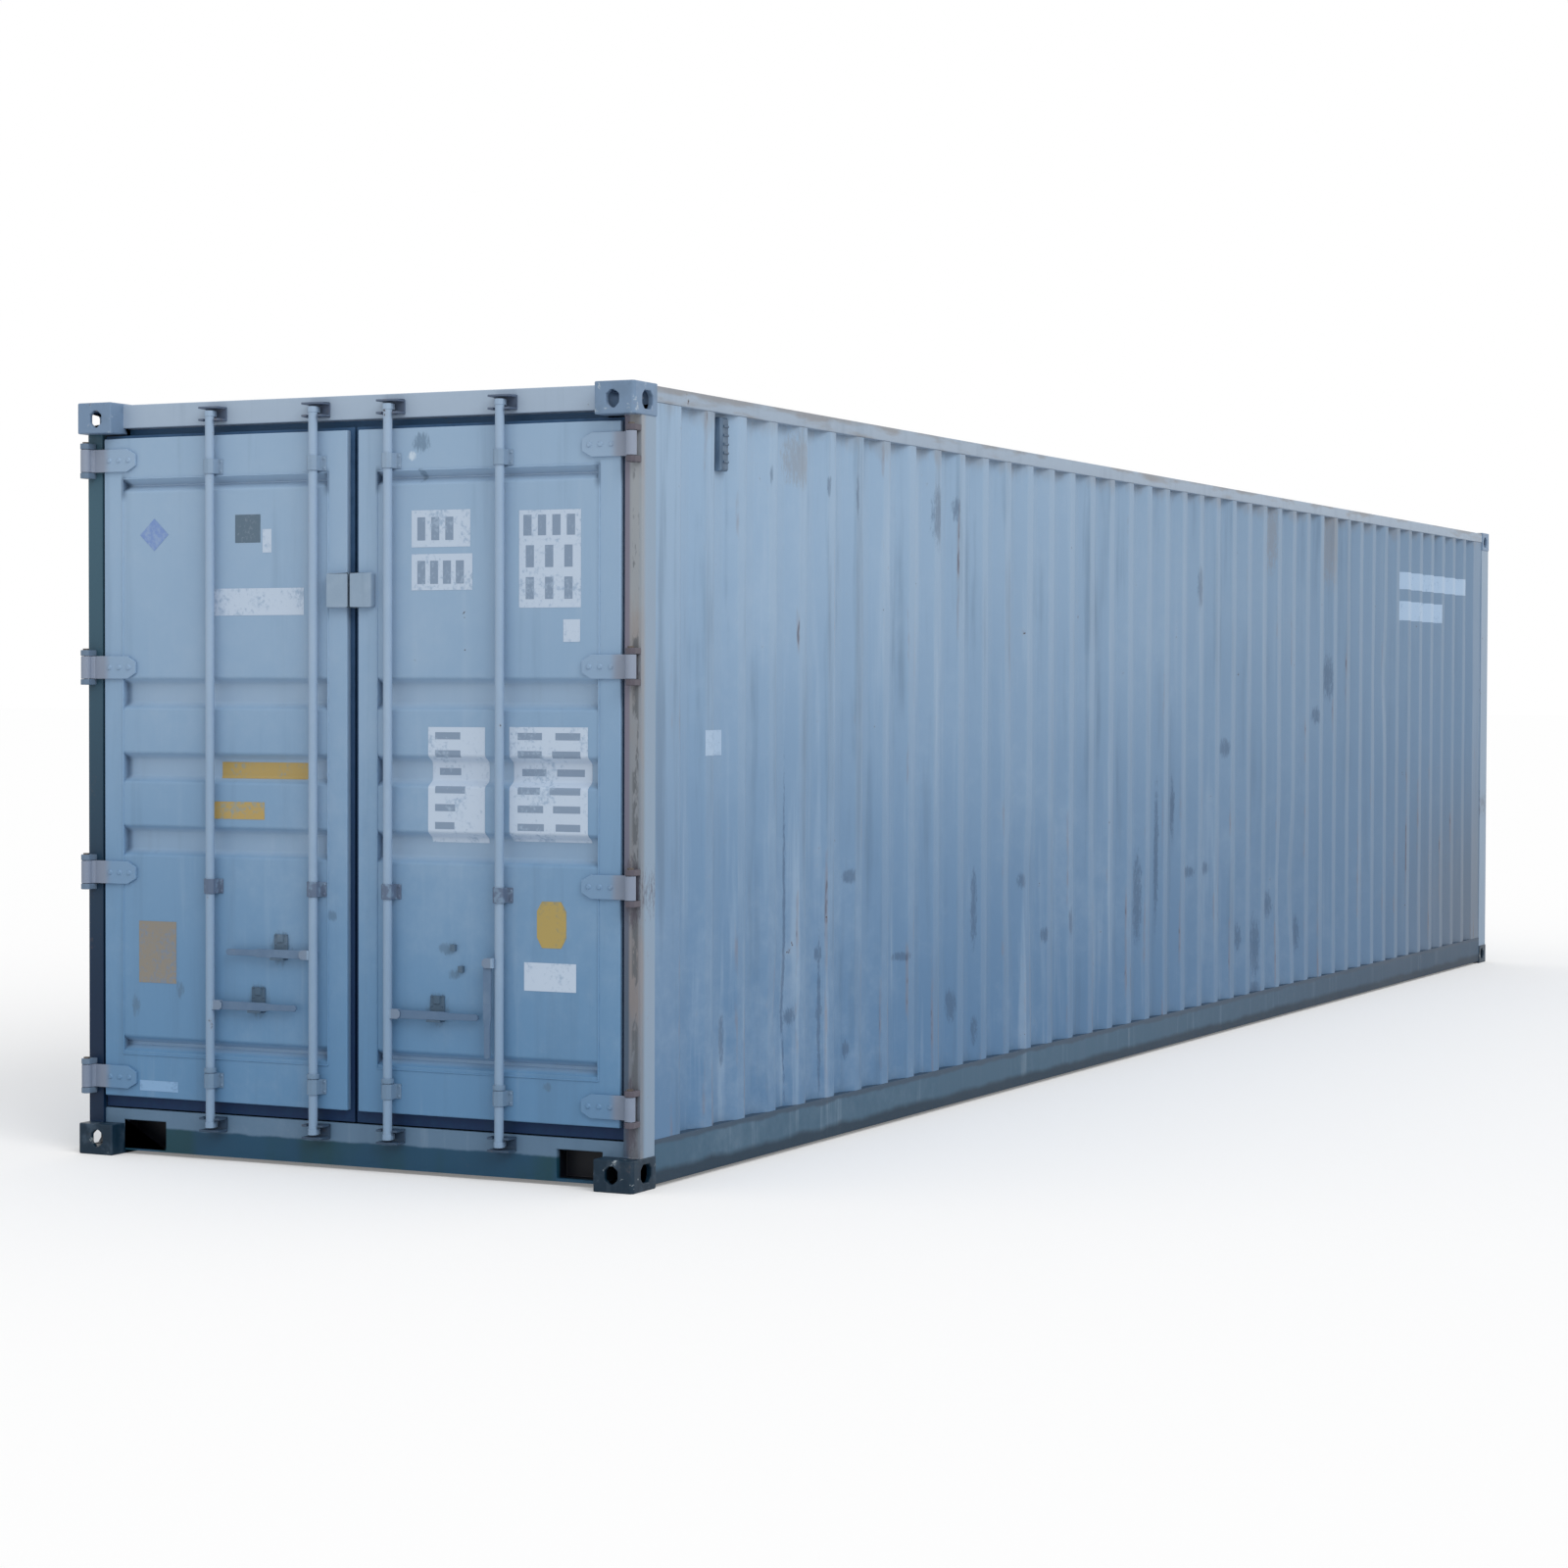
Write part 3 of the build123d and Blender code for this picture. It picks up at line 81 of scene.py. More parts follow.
class Wire:
    """A node's output that takes part in shader maths, so that an expression adds its Math nodes."""

    def __init__(self, finish, socket):
        self.finish = finish
        self.socket = socket

    def maths(self, operation, first, second=0.0):
        settings = {"operation": operation}
        return self.finish.node("ShaderNodeMath", settings, {0: first, 1: second})

    def cycled(self):
        """What is left after the decimal point."""
        return self.maths("FRACT", self)

    def __add__(self, other):
        return self.maths("ADD", self, other)

    __radd__ = __add__

    def __sub__(self, other):
        return self.maths("SUBTRACT", self, other)

    def __rsub__(self, other):
        return self.maths("SUBTRACT", other, self)

    def __mul__(self, other):
        return self.maths("MULTIPLY", self, other)

    __rmul__ = __mul__

    def __truediv__(self, other):
        return self.maths("DIVIDE", self, other)

    def __abs__(self):
        return self.maths("ABSOLUTE", self)

    def above(self, level):
        return self.maths("GREATER_THAN", self, level)

    def most(self, other):
        return self.maths("MAXIMUM", self, other)

    def least(self, other):
        return self.maths("MINIMUM", self, other)

    def step(self, low, high, start=0.0, end=1.0):
        """A smooth rise from start to end as the value goes from low to high."""
        settings = {"interpolation_type": "SMOOTHSTEP"}
        inputs = {"Value": self, "From Min": low, "From Max": high, "To Min": start, "To Max": end}
        return self.finish.node("ShaderNodeMapRange", settings, inputs)


class Finish:
    """A material whose nodes are added one by one and joined by wires."""

    def __init__(self, name):
        self.material = bpy.data.materials.new(name)
        self.material.use_nodes = True
        self.tree = self.material.node_tree
        self.tree.nodes.clear()

    def node(self, kind, settings=None, inputs=None, output=0):
        made = self.tree.nodes.new(kind)
        for name, value in (settings or {}).items():
            setattr(made, name, value)
        for name, value in (inputs or {}).items():
            if isinstance(value, Wire):
                self.tree.links.new(value.socket, made.inputs[name])
            else:
                made.inputs[name].default_value = value
        return Wire(self, made.outputs[output]) if made.outputs else None

    def place(self):
        return self.node("ShaderNodeTexCoord", output="Object")

    def along(self, axis):
        return self.node("ShaderNodeSeparateXYZ", inputs={"Vector": self.place()}, output=axis)

    def noise(self, scale, detail=3.0, roughness=0.55, stretch=(1.0, 1.0, 1.0)):
        mapped = self.node("ShaderNodeMapping", None, {"Vector": self.place(), "Scale": stretch})
        inputs = {"Vector": mapped, "Scale": scale, "Detail": detail, "Roughness": roughness}
        return self.node("ShaderNodeTexNoise", None, inputs)

    def mix(self, share, first, second):
        made = self.tree.nodes.new("ShaderNodeMix")
        made.data_type = "RGBA"
        for socket, value in ((0, share), (6, first), (7, second)):
            if isinstance(value, Wire):
                self.tree.links.new(value.socket, made.inputs[socket])
            else:
                made.inputs[socket].default_value = value
        return Wire(self, made.outputs[2])

    def shade(self, **inputs):
        """Ends the material in one Principled shader with the sockets given."""
        names = {name.replace("_", " "): value for name, value in inputs.items()}
        surface = self.node("ShaderNodeBsdfPrincipled", None, names)
        self.node("ShaderNodeOutputMaterial", None, {"Surface": surface})
        return self.material


def srgb(red, green, blue):
    """A colour given as it looks on a screen, as the linear values that a shader takes."""
    return tuple(((value / 255 + 0.055) / 1.055) ** 2.4 for value in (red, green, blue)) + (1.0,)


floor_finish = Finish("pale_floor")
camera_ray = floor_finish.node("ShaderNodeLightPath", output="Is Camera Ray")
floor_diffuse = floor_finish.node("ShaderNodeBsdfDiffuse", None, {"Color": (FLOOR_TONE,) * 3 + (1.0,)})
floor_lift = floor_finish.node(
    "ShaderNodeEmission", None, {"Color": (1.0,) * 4, "Strength": camera_ray * (1.0 - FLOOR_TONE)}
)
floor_surface = floor_finish.node("ShaderNodeAddShader", None, {0: floor_diffuse, 1: floor_lift})
floor_finish.node("ShaderNodeOutputMaterial", None, {"Surface": floor_surface})

floor_mesh = bpy.data.meshes.new("studio_floor")
shape = bmesh.new()
bmesh.ops.create_grid(shape, x_segments=1, y_segments=1, size=FLOOR_HALF)
shape.to_mesh(floor_mesh)
shape.free()
floor_mesh.materials.append(floor_finish.material)
studio_floor = bpy.data.objects.new("studio_floor", floor_mesh)
bpy.context.scene.collection.objects.link(studio_floor)

sky = bpy.data.worlds.new("soft_daylight")
bpy.context.scene.world = sky
sky.use_nodes = True
sky_tree = sky.node_tree
sky_tree.nodes.clear()
sky_path = sky_tree.nodes.new("ShaderNodeLightPath")
sky_seen = sky_tree.nodes.new("ShaderNodeMath")
sky_seen.operation = "MAXIMUM"
sky_mirrored = sky_tree.nodes.new("ShaderNodeMath")
sky_mirrored.operation = "MAXIMUM"
sky_level = sky_tree.nodes.new("ShaderNodeMapRange")
sky_level.inputs["To Min"].default_value = SKY_STRENGTH
sky_level.inputs["To Max"].default_value = 1.0
sky_light = sky_tree.nodes.new("ShaderNodeBackground")
sky_end = sky_tree.nodes.new("ShaderNodeOutputWorld")
sky_light.inputs["Color"].default_value = (1.0, 1.0, 1.0, 1.0)
sky_tree.links.new(sky_path.outputs["Is Camera Ray"], sky_seen.inputs[0])
sky_tree.links.new(sky_path.outputs["Is Glossy Ray"], sky_mirrored.inputs[0])
sky_tree.links.new(sky_path.outputs["Is Transmission Ray"], sky_mirrored.inputs[1])
sky_tree.links.new(sky_mirrored.outputs[0], sky_seen.inputs[1])
sky_tree.links.new(sky_seen.outputs[0], sky_level.inputs["Value"])
sky_tree.links.new(sky_level.outputs["Result"], sky_light.inputs["Strength"])
sky_tree.links.new(sky_light.outputs[0], sky_end.inputs["Surface"])

sun_data = bpy.data.lights.new("soft_sun", "SUN")
sun_data.energy = SUN_STRENGTH
sun_data.angle = SUN_SPREAD
sun = bpy.data.objects.new("soft_sun", sun_data)
sun.rotation_euler = SUN_FROM.to_track_quat("Z", "Y").to_euler()
bpy.context.scene.collection.objects.link(sun)

camera_data = bpy.data.cameras.new("eye_height_camera")
camera_data.lens = EYE_LENS
camera_data.clip_end = 2 * FLOOR_HALF
camera = bpy.data.objects.new("eye_height_camera", camera_data)
look = Vector((
    math.cos(EYE_HEADING) * math.cos(EYE_PITCH),
    math.sin(EYE_HEADING) * math.cos(EYE_PITCH),
    math.sin(EYE_PITCH),
))
level_right = Vector((math.sin(EYE_HEADING), -math.cos(EYE_HEADING), 0.0))
level_up = level_right.cross(look)
camera_right = math.cos(EYE_ROLL) * level_right + math.sin(EYE_ROLL) * level_up
camera_up = math.cos(EYE_ROLL) * level_up - math.sin(EYE_ROLL) * level_right
turn = Matrix((camera_right, camera_up, -look)).transposed()
camera.matrix_world = Matrix.Translation(EYE) @ turn.to_4x4()
bpy.context.scene.collection.objects.link(camera)
bpy.context.scene.camera = camera
bpy.context.scene.view_settings.view_transform = "Standard"

# Enamel on the steel.
# Every sheet, rail and post is blasted, primed and sprayed with marine enamel. It chalks, runs
# dark below each joint and rusts where it is knocked or where water stands; its tone darkens
# towards the bottom, partly painted shade and partly dirt.
RUST_DARK = srgb(58, 44, 42)
RUST_LIGHT = srgb(128, 106, 92)
CHALK = srgb(172, 190, 208)
GRIME = srgb(74, 98, 122)
NAVY = srgb(24, 58, 88)
PAINT_GLOSS = 0.3


def enamel(name, high, low, base=0.0, top=2.9, rust=0.3, streaks=0.5, chalk=0.5, marks=None):
    """Weathered enamel from the low tone at the bottom to the high tone at the top, partly painted shade
    and partly dirt, with its own marks where a piece has them.
    """
    finish = Finish(name)
    height = finish.along("Z")
    cloud = finish.noise(0.9, 4.0, 0.6)
    grain = finish.noise(14.0, 5.0, 0.65)
    speck = finish.noise(55.0, 3.0, 0.6)
    runs = finish.noise(11.0, 4.0, 0.6, stretch=(1.0, 1.0, 0.06))
    # Darker towards the bottom: partly painted shade, partly dirt.
    height_shade_and_dirt = (height + (cloud - 0.5) * 0.7).step(base, top)
    colour = finish.mix(height_shade_and_dirt, low, high)
    worn = (grain * 0.5 + cloud * 0.8 - 0.25).step(0.35, 0.75, 0.0, 0.5 * chalk)
    colour = finish.mix(worn, colour, CHALK)
    pale_run = runs.step(0.56, 0.74, 0.0, 0.35 * streaks)
    colour = finish.mix(pale_run, colour, CHALK)
    dark_run = (runs + (cloud - 0.5) * 0.4).step(0.48, 0.24, 0.0, 0.5 * streaks)
    colour = finish.mix(dark_run, colour, GRIME)
    if marks:
        colour = marks(finish, colour)
    halo = (grain * 0.5 + speck * 0.2 + runs * 0.3).step(0.62 - 0.09 * rust, 0.72, 0.0, 0.8 * rust)
    colour = finish.mix(halo, colour, RUST_LIGHT)
    pits = (grain * 0.5 + speck * 0.28 + runs * 0.28).step(0.7 - 0.07 * rust, 0.73 - 0.05 * rust)
    colour = finish.mix(pits, colour, RUST_DARK)
    rough = (cloud * 0.2 + 0.36 + worn * 0.3).most(pits * 0.85)
    relief = speck * 0.3 - pits + grain * 0.3
    bump = finish.node("ShaderNodeBump", None, {"Strength": 0.3, "Distance": 0.002, "Height": relief})
    return finish.shade(
        Base_Color=colour, Roughness=rough, Metallic=0.0, Specular_IOR_Level=PAINT_GLOSS, Normal=bump
    )


def scar(finish, places, axis, ragged=4.5, grain=85.0):
    """A mask of ragged oval marks, each given by its middle along the axis and in Z and two half sizes."""
    ragging = (finish.noise(grain, 4.0, 0.75, stretch=(1.0, 1.0, 0.3)) - 0.5) * ragged
    across = finish.along(axis)
    height = finish.along("Z")
    mask = None
    for middle, height_middle, half_width, half_height in places:
        sideways = (across - middle) / half_width
        upwards = (height - height_middle) / half_height
        mark = (sideways * sideways + upwards * upwards + ragging).step(1.5, 0.1)
        mask = mask.most(mark) if mask else mark
    return mask


# Clean copies of the source's steel.
# Rolled and cast edges are rounded, so each steel piece starts as a copy of the source's solid
# with its loose triangles joined into clean faces, and its broad edges are rounded over.
JOIN_DISTANCE = 0.00005
FLAT_ANGLE = math.radians(0.6)
EDGE_ANGLE = math.radians(25)
SHADE_ANGLE = math.radians(38)


def clean_copy(*names):
    shape = bmesh.new()
    for name in names:
        shape.from_mesh(nodes[name].data)
    bmesh.ops.remove_doubles(shape, verts=shape.verts[:], dist=JOIN_DISTANCE)
    bmesh.ops.dissolve_limit(shape, angle_limit=FLAT_ANGLE, verts=shape.verts[:], edges=shape.edges[:])
    return shape


def round_edges(shape, width, segments=2):
    """Rounds the edges between faces that are broad enough to carry it."""
    broad = {face for face in shape.faces if face.calc_area() > width * face.calc_perimeter()}
    edges = [
        edge
        for edge in shape.edges
        if len(edge.link_faces) == 2
        and broad.issuperset(edge.link_faces)
        and edge.calc_face_angle() > EDGE_ANGLE
    ]
    bmesh.ops.bevel(
        shape,
        geom=edges,
        offset=width,
        offset_type="OFFSET",
        affect="EDGES",
        segments=segments,
        profile=0.5,
        material=-1,
        clamp_overlap=False,
    )


def fit(shape, name, material, body):
    """Makes an edited mesh a piece of the container that rides on a body."""
    for face in shape.faces:
        face.smooth = True
    for edge in shape.edges:
        edge.smooth = len(edge.link_faces) == 2 and edge.calc_face_angle() < SHADE_ANGLE
    mesh = bpy.data.meshes.new(name)
    shape.to_mesh(mesh)
    shape.free()
    mesh.materials.append(material)
    piece = bpy.data.objects.new(name, mesh)
    bpy.context.scene.collection.objects.link(piece)
    evened = piece.modifiers.new("even_shading", "WEIGHTED_NORMAL")
    evened.keep_sharp = True
    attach(piece, body)
    return piece


def stand_in(shape, node, material):
    """Fits a reworked copy in place of its node."""
    piece = fit(shape, node + "_finished", material, nodes[node]["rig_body"])
    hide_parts(node)
    return piece


def rounded(node, width, material, segments=2):
    shape = clean_copy(node)
    round_edges(shape, width, segments)
    return stand_in(shape, node, material)


def carried(node, material):
    """Gives a node that stays as it is its own finish."""
    nodes[node].data.materials.clear()
    nodes[node].data.materials.append(material)


# Underframe.
# Pressed channels are welded across between the bottom rails, with short ones beside the
# gooseneck tunnel. Road spray keeps them dark and rusty.
underframe_enamel = enamel(
    "underframe_enamel", srgb(66, 88, 106), srgb(52, 72, 88), top=0.2, rust=0.9, chalk=0.2
)
for node in ("cross_members", "tunnel_outriggers", "gooseneck_tunnel_plate", "gooseneck_tunnel_webs"):
    carried(node, underframe_enamel)

# Corner castings.
# Eight hollow steel castings take the twist locks and all of the stacking load, so their
# edges are knocked bright and their faces rusty; the bottom ones are far darker, partly
# painted shade and partly dirt.
CASTING_EDGE = 0.005
CASTING_HIGH = srgb(114, 138, 166)
CASTING_LOW = srgb(10, 38, 56)
CASTING_WORN = srgb(92, 112, 132)
CASTING_BRIGHT = srgb(196, 208, 214)


def casting_marks(finish, colour):
    scrape = finish.noise(9.0, 4.0, 0.6)
    colour = finish.mix(scrape.step(0.5, 0.66, 0.0, 0.28), colour, CASTING_WORN)
    knocks = finish.noise(22.0, 4.0, 0.7)
    return finish.mix(knocks.step(0.62, 0.7, 0.0, 0.55), colour, CASTING_BRIGHT)


casting_enamel = enamel(
    "casting_enamel",
    CASTING_HIGH,
    CASTING_LOW,
    base=0.3,
    top=2.4,
    rust=0.7,
    streaks=0.2,
    chalk=0.2,
    marks=casting_marks,
)
rounded("corner_castings_bottom", CASTING_EDGE, casting_enamel, segments=3)
rounded("corner_castings_top", CASTING_EDGE, casting_enamel, segments=3)

# Side rails.
# The bottom rails are pressed channels and the top rails square tubes, butt welded to the
# castings. The top rails are scraped brown by lifting gear; the bottom ones darken towards
# the far end and at their foot, and carry painted shade along their top.
CHANNEL_EDGE = 0.004
TUBE_EDGE = 0.006
RAIL_TONE = srgb(54, 88, 112)
RAIL_FAR = srgb(22, 50, 76)
RAIL_SEAM_SHADE = srgb(50, 70, 90)
RAIL_FOOT = srgb(2, 38, 58)
TOP_RAIL_TONE = srgb(150, 166, 184)
TOP_RAIL_RUST = srgb(128, 122, 118)


def bottom_rail_marks(finish, colour):
    height = finish.along("Z") + (finish.noise(5.0, 4.0, 0.6) - 0.5) * 0.04
    colour = finish.mix(finish.along("X").step(-2.5, 4.5, 0.0, 0.6), colour, RAIL_FAR)
    # Along the rail's top, where the wall meets it, the colour is darkened as painted shade.
    colour = finish.mix(height.step(0.148, 0.16, 0.0, 0.9), colour, RAIL_SEAM_SHADE)
    return finish.mix(height.step(0.075, 0.045, 0.0, 0.9), colour, RAIL_FOOT)


def top_rail_marks(finish, colour):
    scraped = finish.noise(4.0, 4.0, 0.6, stretch=(0.5, 3.0, 3.0))
    scraped = scraped + finish.along("Z").step(2.85, 2.89, -0.06, 0.08)
    return finish.mix(scraped.step(0.48, 0.66, 0.0, 0.6), colour, TOP_RAIL_RUST)


bottom_rail_enamel = enamel(
    "bottom_rail_enamel", RAIL_TONE, RAIL_TONE, rust=0.4, streaks=0.5, chalk=0.3, marks=bottom_rail_marks
)
top_rail_enamel = enamel(
    "top_rail_enamel", TOP_RAIL_TONE, TOP_RAIL_TONE, rust=0.6, streaks=0.3, marks=top_rail_marks
)
rounded("bottom_side_rails", CHANNEL_EDGE, bottom_rail_enamel)
rounded("top_side_rails", TUBE_EDGE, top_rail_enamel)
rounded("front_bottom_rail", CHANNEL_EDGE, bottom_rail_enamel)
rounded("front_top_rail", TUBE_EDGE, top_rail_enamel)

# Corner posts.
# Hollow pressed posts are welded between the castings. The rear ones are scraped brown by
# the doors' blades, and the left one's front face is coloured dark navy as painted shade.
POST_HIGH = srgb(150, 156, 162)
POST_LOW = srgb(102, 108, 118)
POST_RUST = srgb(140, 126, 118)
POST_SIDE = srgb(134, 158, 182)
POST_GAP_SHADE_HIGH = srgb(112, 108, 126)
POST_GAP_SHADE_LOW = srgb(60, 80, 102)
POST_FLECK = srgb(84, 90, 96)
POST_STAIN = srgb(76, 72, 84)
POST_STAINS = ((-1.178, 1.87, 0.024, 0.08), (-1.18, 1.07, 0.034, 0.12), (-1.174, 0.26, 0.024, 0.14))
POST_NAVY_SHADE_HIGH = srgb(60, 92, 108)
POST_NAVY_SHADE_LOW = srgb(4, 34, 62)


def post_marks(finish, colour):
    height = finish.along("Z")
    across = abs(finish.along("Y"))
    scraped = finish.noise(6.0, 5.0, 0.65, stretch=(1.0, 1.0, 0.3))
    colour = finish.mix(scraped.step(0.45, 0.66, 0.0, 0.45), colour, POST_RUST)
    front = finish.along("X").step(-6.02, -5.99, 1.0, 0.0)
    colour = finish.mix(across.step(1.2, 1.208) * (1.0 - front * 0.8) * 0.8, colour, POST_SIDE)
    flecks = finish.noise(16.0, 4.0, 0.7, stretch=(1.0, 1.0, 0.3))
    worn_line = abs(across - 1.191).step(0.018, 0.006) * (flecks - height * 0.015).step(0.46, 0.54)
    colour = finish.mix(worn_line * 0.8, colour, POST_FLECK)
    # Inboard of the door gap the post is darkened, a painted shade of the gap.
    gap_shade_tone = finish.mix(height.step(0.6, 1.6), POST_GAP_SHADE_LOW, POST_GAP_SHADE_HIGH)
    colour = finish.mix(across.step(1.172, 1.162) * 0.85, colour, gap_shade_tone)
    colour = finish.mix(scar(finish, POST_STAINS, "Y") * 0.75, colour, POST_STAIN)
    # The left rear post's front face is coloured dark navy, a painted shade of its recess beside the door.
    navy_painted_shade = finish.along("Y").above(0.0) * front
    return finish.mix(navy_painted_shade, colour, finish.mix(height.step(0.4, 2.6), POST_NAVY_SHADE_LOW, POST_NAVY_SHADE_HIGH))


post_enamel = enamel("post_enamel", POST_HIGH, POST_LOW, rust=0.5, streaks=0.3, chalk=0.3, marks=post_marks)
rounded("rear_corner_posts", CHANNEL_EDGE, post_enamel)
rounded("front_corner_posts", CHANNEL_EDGE, post_enamel)

# Weld beads.
# Posts, castings, header and sill are joined by hand welds, whose ripples show through the
# paint as a low ragged rope; here the ropes run across the rear posts' fronts at the castings.
WELD_RIPPLE = 0.012
WELD_RADIUS = 0.005
WELD_SWELL = 0.3
POST_WIDTH = 0.069
POST_BEND = 0.006


def weld(name, runs, radius, material, body):
    shape = bmesh.new()
    for start, end in runs:
        start, end = Vector(start), Vector(end)
        run = end - start
        turn = run.to_track_quat("Z", "Y").to_matrix().to_4x4()
        rope = bmesh.ops.create_cone(
            shape,
            cap_ends=True,
            segments=6,
            radius1=radius,
            radius2=radius,
            depth=run.length,
            matrix=Matrix.Translation((start + end) / 2) @ turn,
        )
        along = {edge for vertex in rope["verts"] for edge in vertex.link_edges}
        along = [edge for edge in along if edge.calc_length() > run.length - radius]
        bmesh.ops.subdivide_edges(shape, edges=along, cuts=int(run.length / WELD_RIPPLE))
    for vertex in shape.verts:
        vertex.co += noise.noise_vector(vertex.co / WELD_RIPPLE) * radius * WELD_SWELL
    return fit(shape, name, material, body)


post_low, post_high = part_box("rear_corner_posts")
for end_name, sign in (("left", 1.0), ("right", -1.0)):
    inner = sign * (post_high.y - POST_WIDTH)
    outer = sign * (post_high.y - POST_BEND)
    runs = [
        ((post_low.x, inner, height), (post_low.x, outer, height)) for height in (post_low.z, post_high.z)
    ]
    weld(end_name + "_post_welds", runs, WELD_RADIUS, post_enamel, "container")

# Door header and door sill.
# The header is a folded tube whose back wall hangs down as a stop, and the sill a channel
# with a lock pocket beside each casting. Below the header's lip the stop is navy, partly
# navy paint and partly painted shade of the gap above the doors.
HEADER_TONE = srgb(160, 178, 198)
HEADER_LIP_NAVY_AND_SHADE = srgb(48, 88, 124)
SILL_TONE = srgb(92, 120, 146)
SILL_FOOT_SHADE_AND_DIRT = srgb(18, 66, 94)
MOSS = srgb(12, 60, 66)
POCKET_SHADE = srgb(8, 12, 22)
SILL_FOOT_HEIGHT = 0.105
SILL_FOOT_FADE = 0.006
HEADER_EDGE = 0.005
sill_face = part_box("door_sill")[0].x


def header_marks(finish, colour):
    # Below the lip the stop is navy, partly navy paint and partly painted shade of the gap above the doors.
    lip_navy_and_shade = finish.along("Z").step(2.797, 2.8, 1.0, 0.0)
    return finish.mix(lip_navy_and_shade, colour, HEADER_LIP_NAVY_AND_SHADE)


def sill_marks(finish, colour):
    # Below 0.105 m the sill is dark teal, partly painted shade of its set-back lower web and partly dirt,
    # with greener moss patches.
    damp = finish.noise(3.0, 3.0, 0.5, stretch=(1.0, 1.0, 0.3))
    height = finish.along("Z") + (finish.noise(8.0, 3.0, 0.6) - 0.5) * 0.02
    foot_shade_and_moss = finish.mix(damp.step(0.48, 0.62, 0.0, 0.8), SILL_FOOT_SHADE_AND_DIRT, MOSS)
    low_share = height.step(SILL_FOOT_HEIGHT + SILL_FOOT_FADE, SILL_FOOT_HEIGHT - SILL_FOOT_FADE, 0.0, 0.95)
    colour = finish.mix(low_share, colour, foot_shade_and_moss)
    # Faces set back more than 12 to 30 mm behind the sill's front, inside the lock pockets, are coloured
    # near black as painted shade.
    return finish.mix((finish.along("X") - sill_face).step(0.012, 0.03), colour, POCKET_SHADE)


header_enamel = enamel(
    "header_enamel", HEADER_TONE, HEADER_TONE, rust=0.4, streaks=0.3, chalk=0.6, marks=header_marks
)
sill_enamel = enamel(
    "sill_enamel", SILL_TONE, SILL_TONE, rust=0.4, streaks=0.4, marks=sill_marks
)
rounded("door_header", HEADER_EDGE, header_enamel)
rounded("door_sill", CHANNEL_EDGE, sill_enamel)

# Side walls.
# Sheets two millimetres thick are pressed into upright corrugations and welded to the rails.
# Their bends are round, the sheet is dented by loading, and rust starts along the bends.
WALL_BEND = 0.009
WALL_PITCH = 0.2675
WALL_FIRST_FLAT = -5.75125
WALL_BEND_PHASE = 0.127
WALL_HIGH = srgb(144, 170, 196)
WALL_LOW = srgb(84, 120, 156)
WALL_FAR = srgb(98, 122, 148)
WALL_SCORCH = srgb(102, 106, 112)
WALL_ROWS = 22
WALL_WAVE = 0.0025
WALL_DENTS = (
    ("right_wall", -4.84, 0.54, 0.16, 0.02),
    ("right_wall", -2.35, 0.92, 0.3, 0.016),
    ("right_wall", 1.7, 0.75, 0.35, 0.02),
    ("right_wall", 3.6, 1.9, 0.3, 0.014),
    ("left_wall", -3.1, 1.2, 0.35, 0.018),
    ("left_wall", 2.4, 0.8, 0.3, 0.02),
)
WALL_SLIT = srgb(56, 76, 102)
WALL_SCARS = (
    (-5.317, 0.48, 0.014, 0.1),
    (-4.964, 2.629, 0.014, 0.035),
    (-4.437, 2.615, 0.018, 0.04),
    (-4.164, 2.59, 0.014, 0.09),
    (-3.341, 2.55, 0.05, 0.12),
    (-3.12, 2.589, 0.026, 0.05),
    (-4.777, 0.82, 0.007, 0.62),
    (-4.747, 0.524, 0.022, 0.036),
    (-4.483, 0.5, 0.008, 0.3),
    (-4.487, 0.757, 0.016, 0.03),
    (-4.482, 0.522, 0.018, 0.032),
    (-4.202, 1.049, 0.034, 0.03),
    (-2.879, 0.85, 0.016, 0.17),
    (-2.309, 0.941, 0.03, 0.035),
    (-1.735, 0.724, 0.026, 0.06),
    (-2.05, 0.679, 0.026, 0.035),
    (-3.671, 0.687, 0.06, 0.018),
    (-3.143, 0.44, 0.028, 0.07),
    (-4.221, 0.345, 0.016, 0.036),
    (-2.876, 0.31, 0.018, 0.06),
    (0.126, 2.35, 0.034, 0.11),
    (2.47, 1.9, 0.045, 0.12),
    (2.22, 1.68, 0.036, 0.05),
    (0.594, 1.514, 0.036, 0.05),
    (-0.225, 1.22, 0.016, 0.14),
    (-0.479, 0.99, 0.014, 0.34),
    (-0.754, 0.78, 0.03, 0.22),
    (0.033, 0.875, 0.045, 0.03),
    (0.303, 0.884, 0.026, 0.036),
    (1.377, 0.636, 0.036, 0.07),
    (1.126, 0.42, 0.036, 0.16),
    (0.846, 0.49, 0.026, 0.07),
    (1.907, 0.45, 0.03, 0.1),
    (1.127, 0.17, 0.036, 0.06),
)
WALL_RUNS = ((1.39, 2.7, 0.05, 0.22), (2.487, 2.68, 0.12, 0.24), (-4.7, 2.7, 0.1, 0.1))


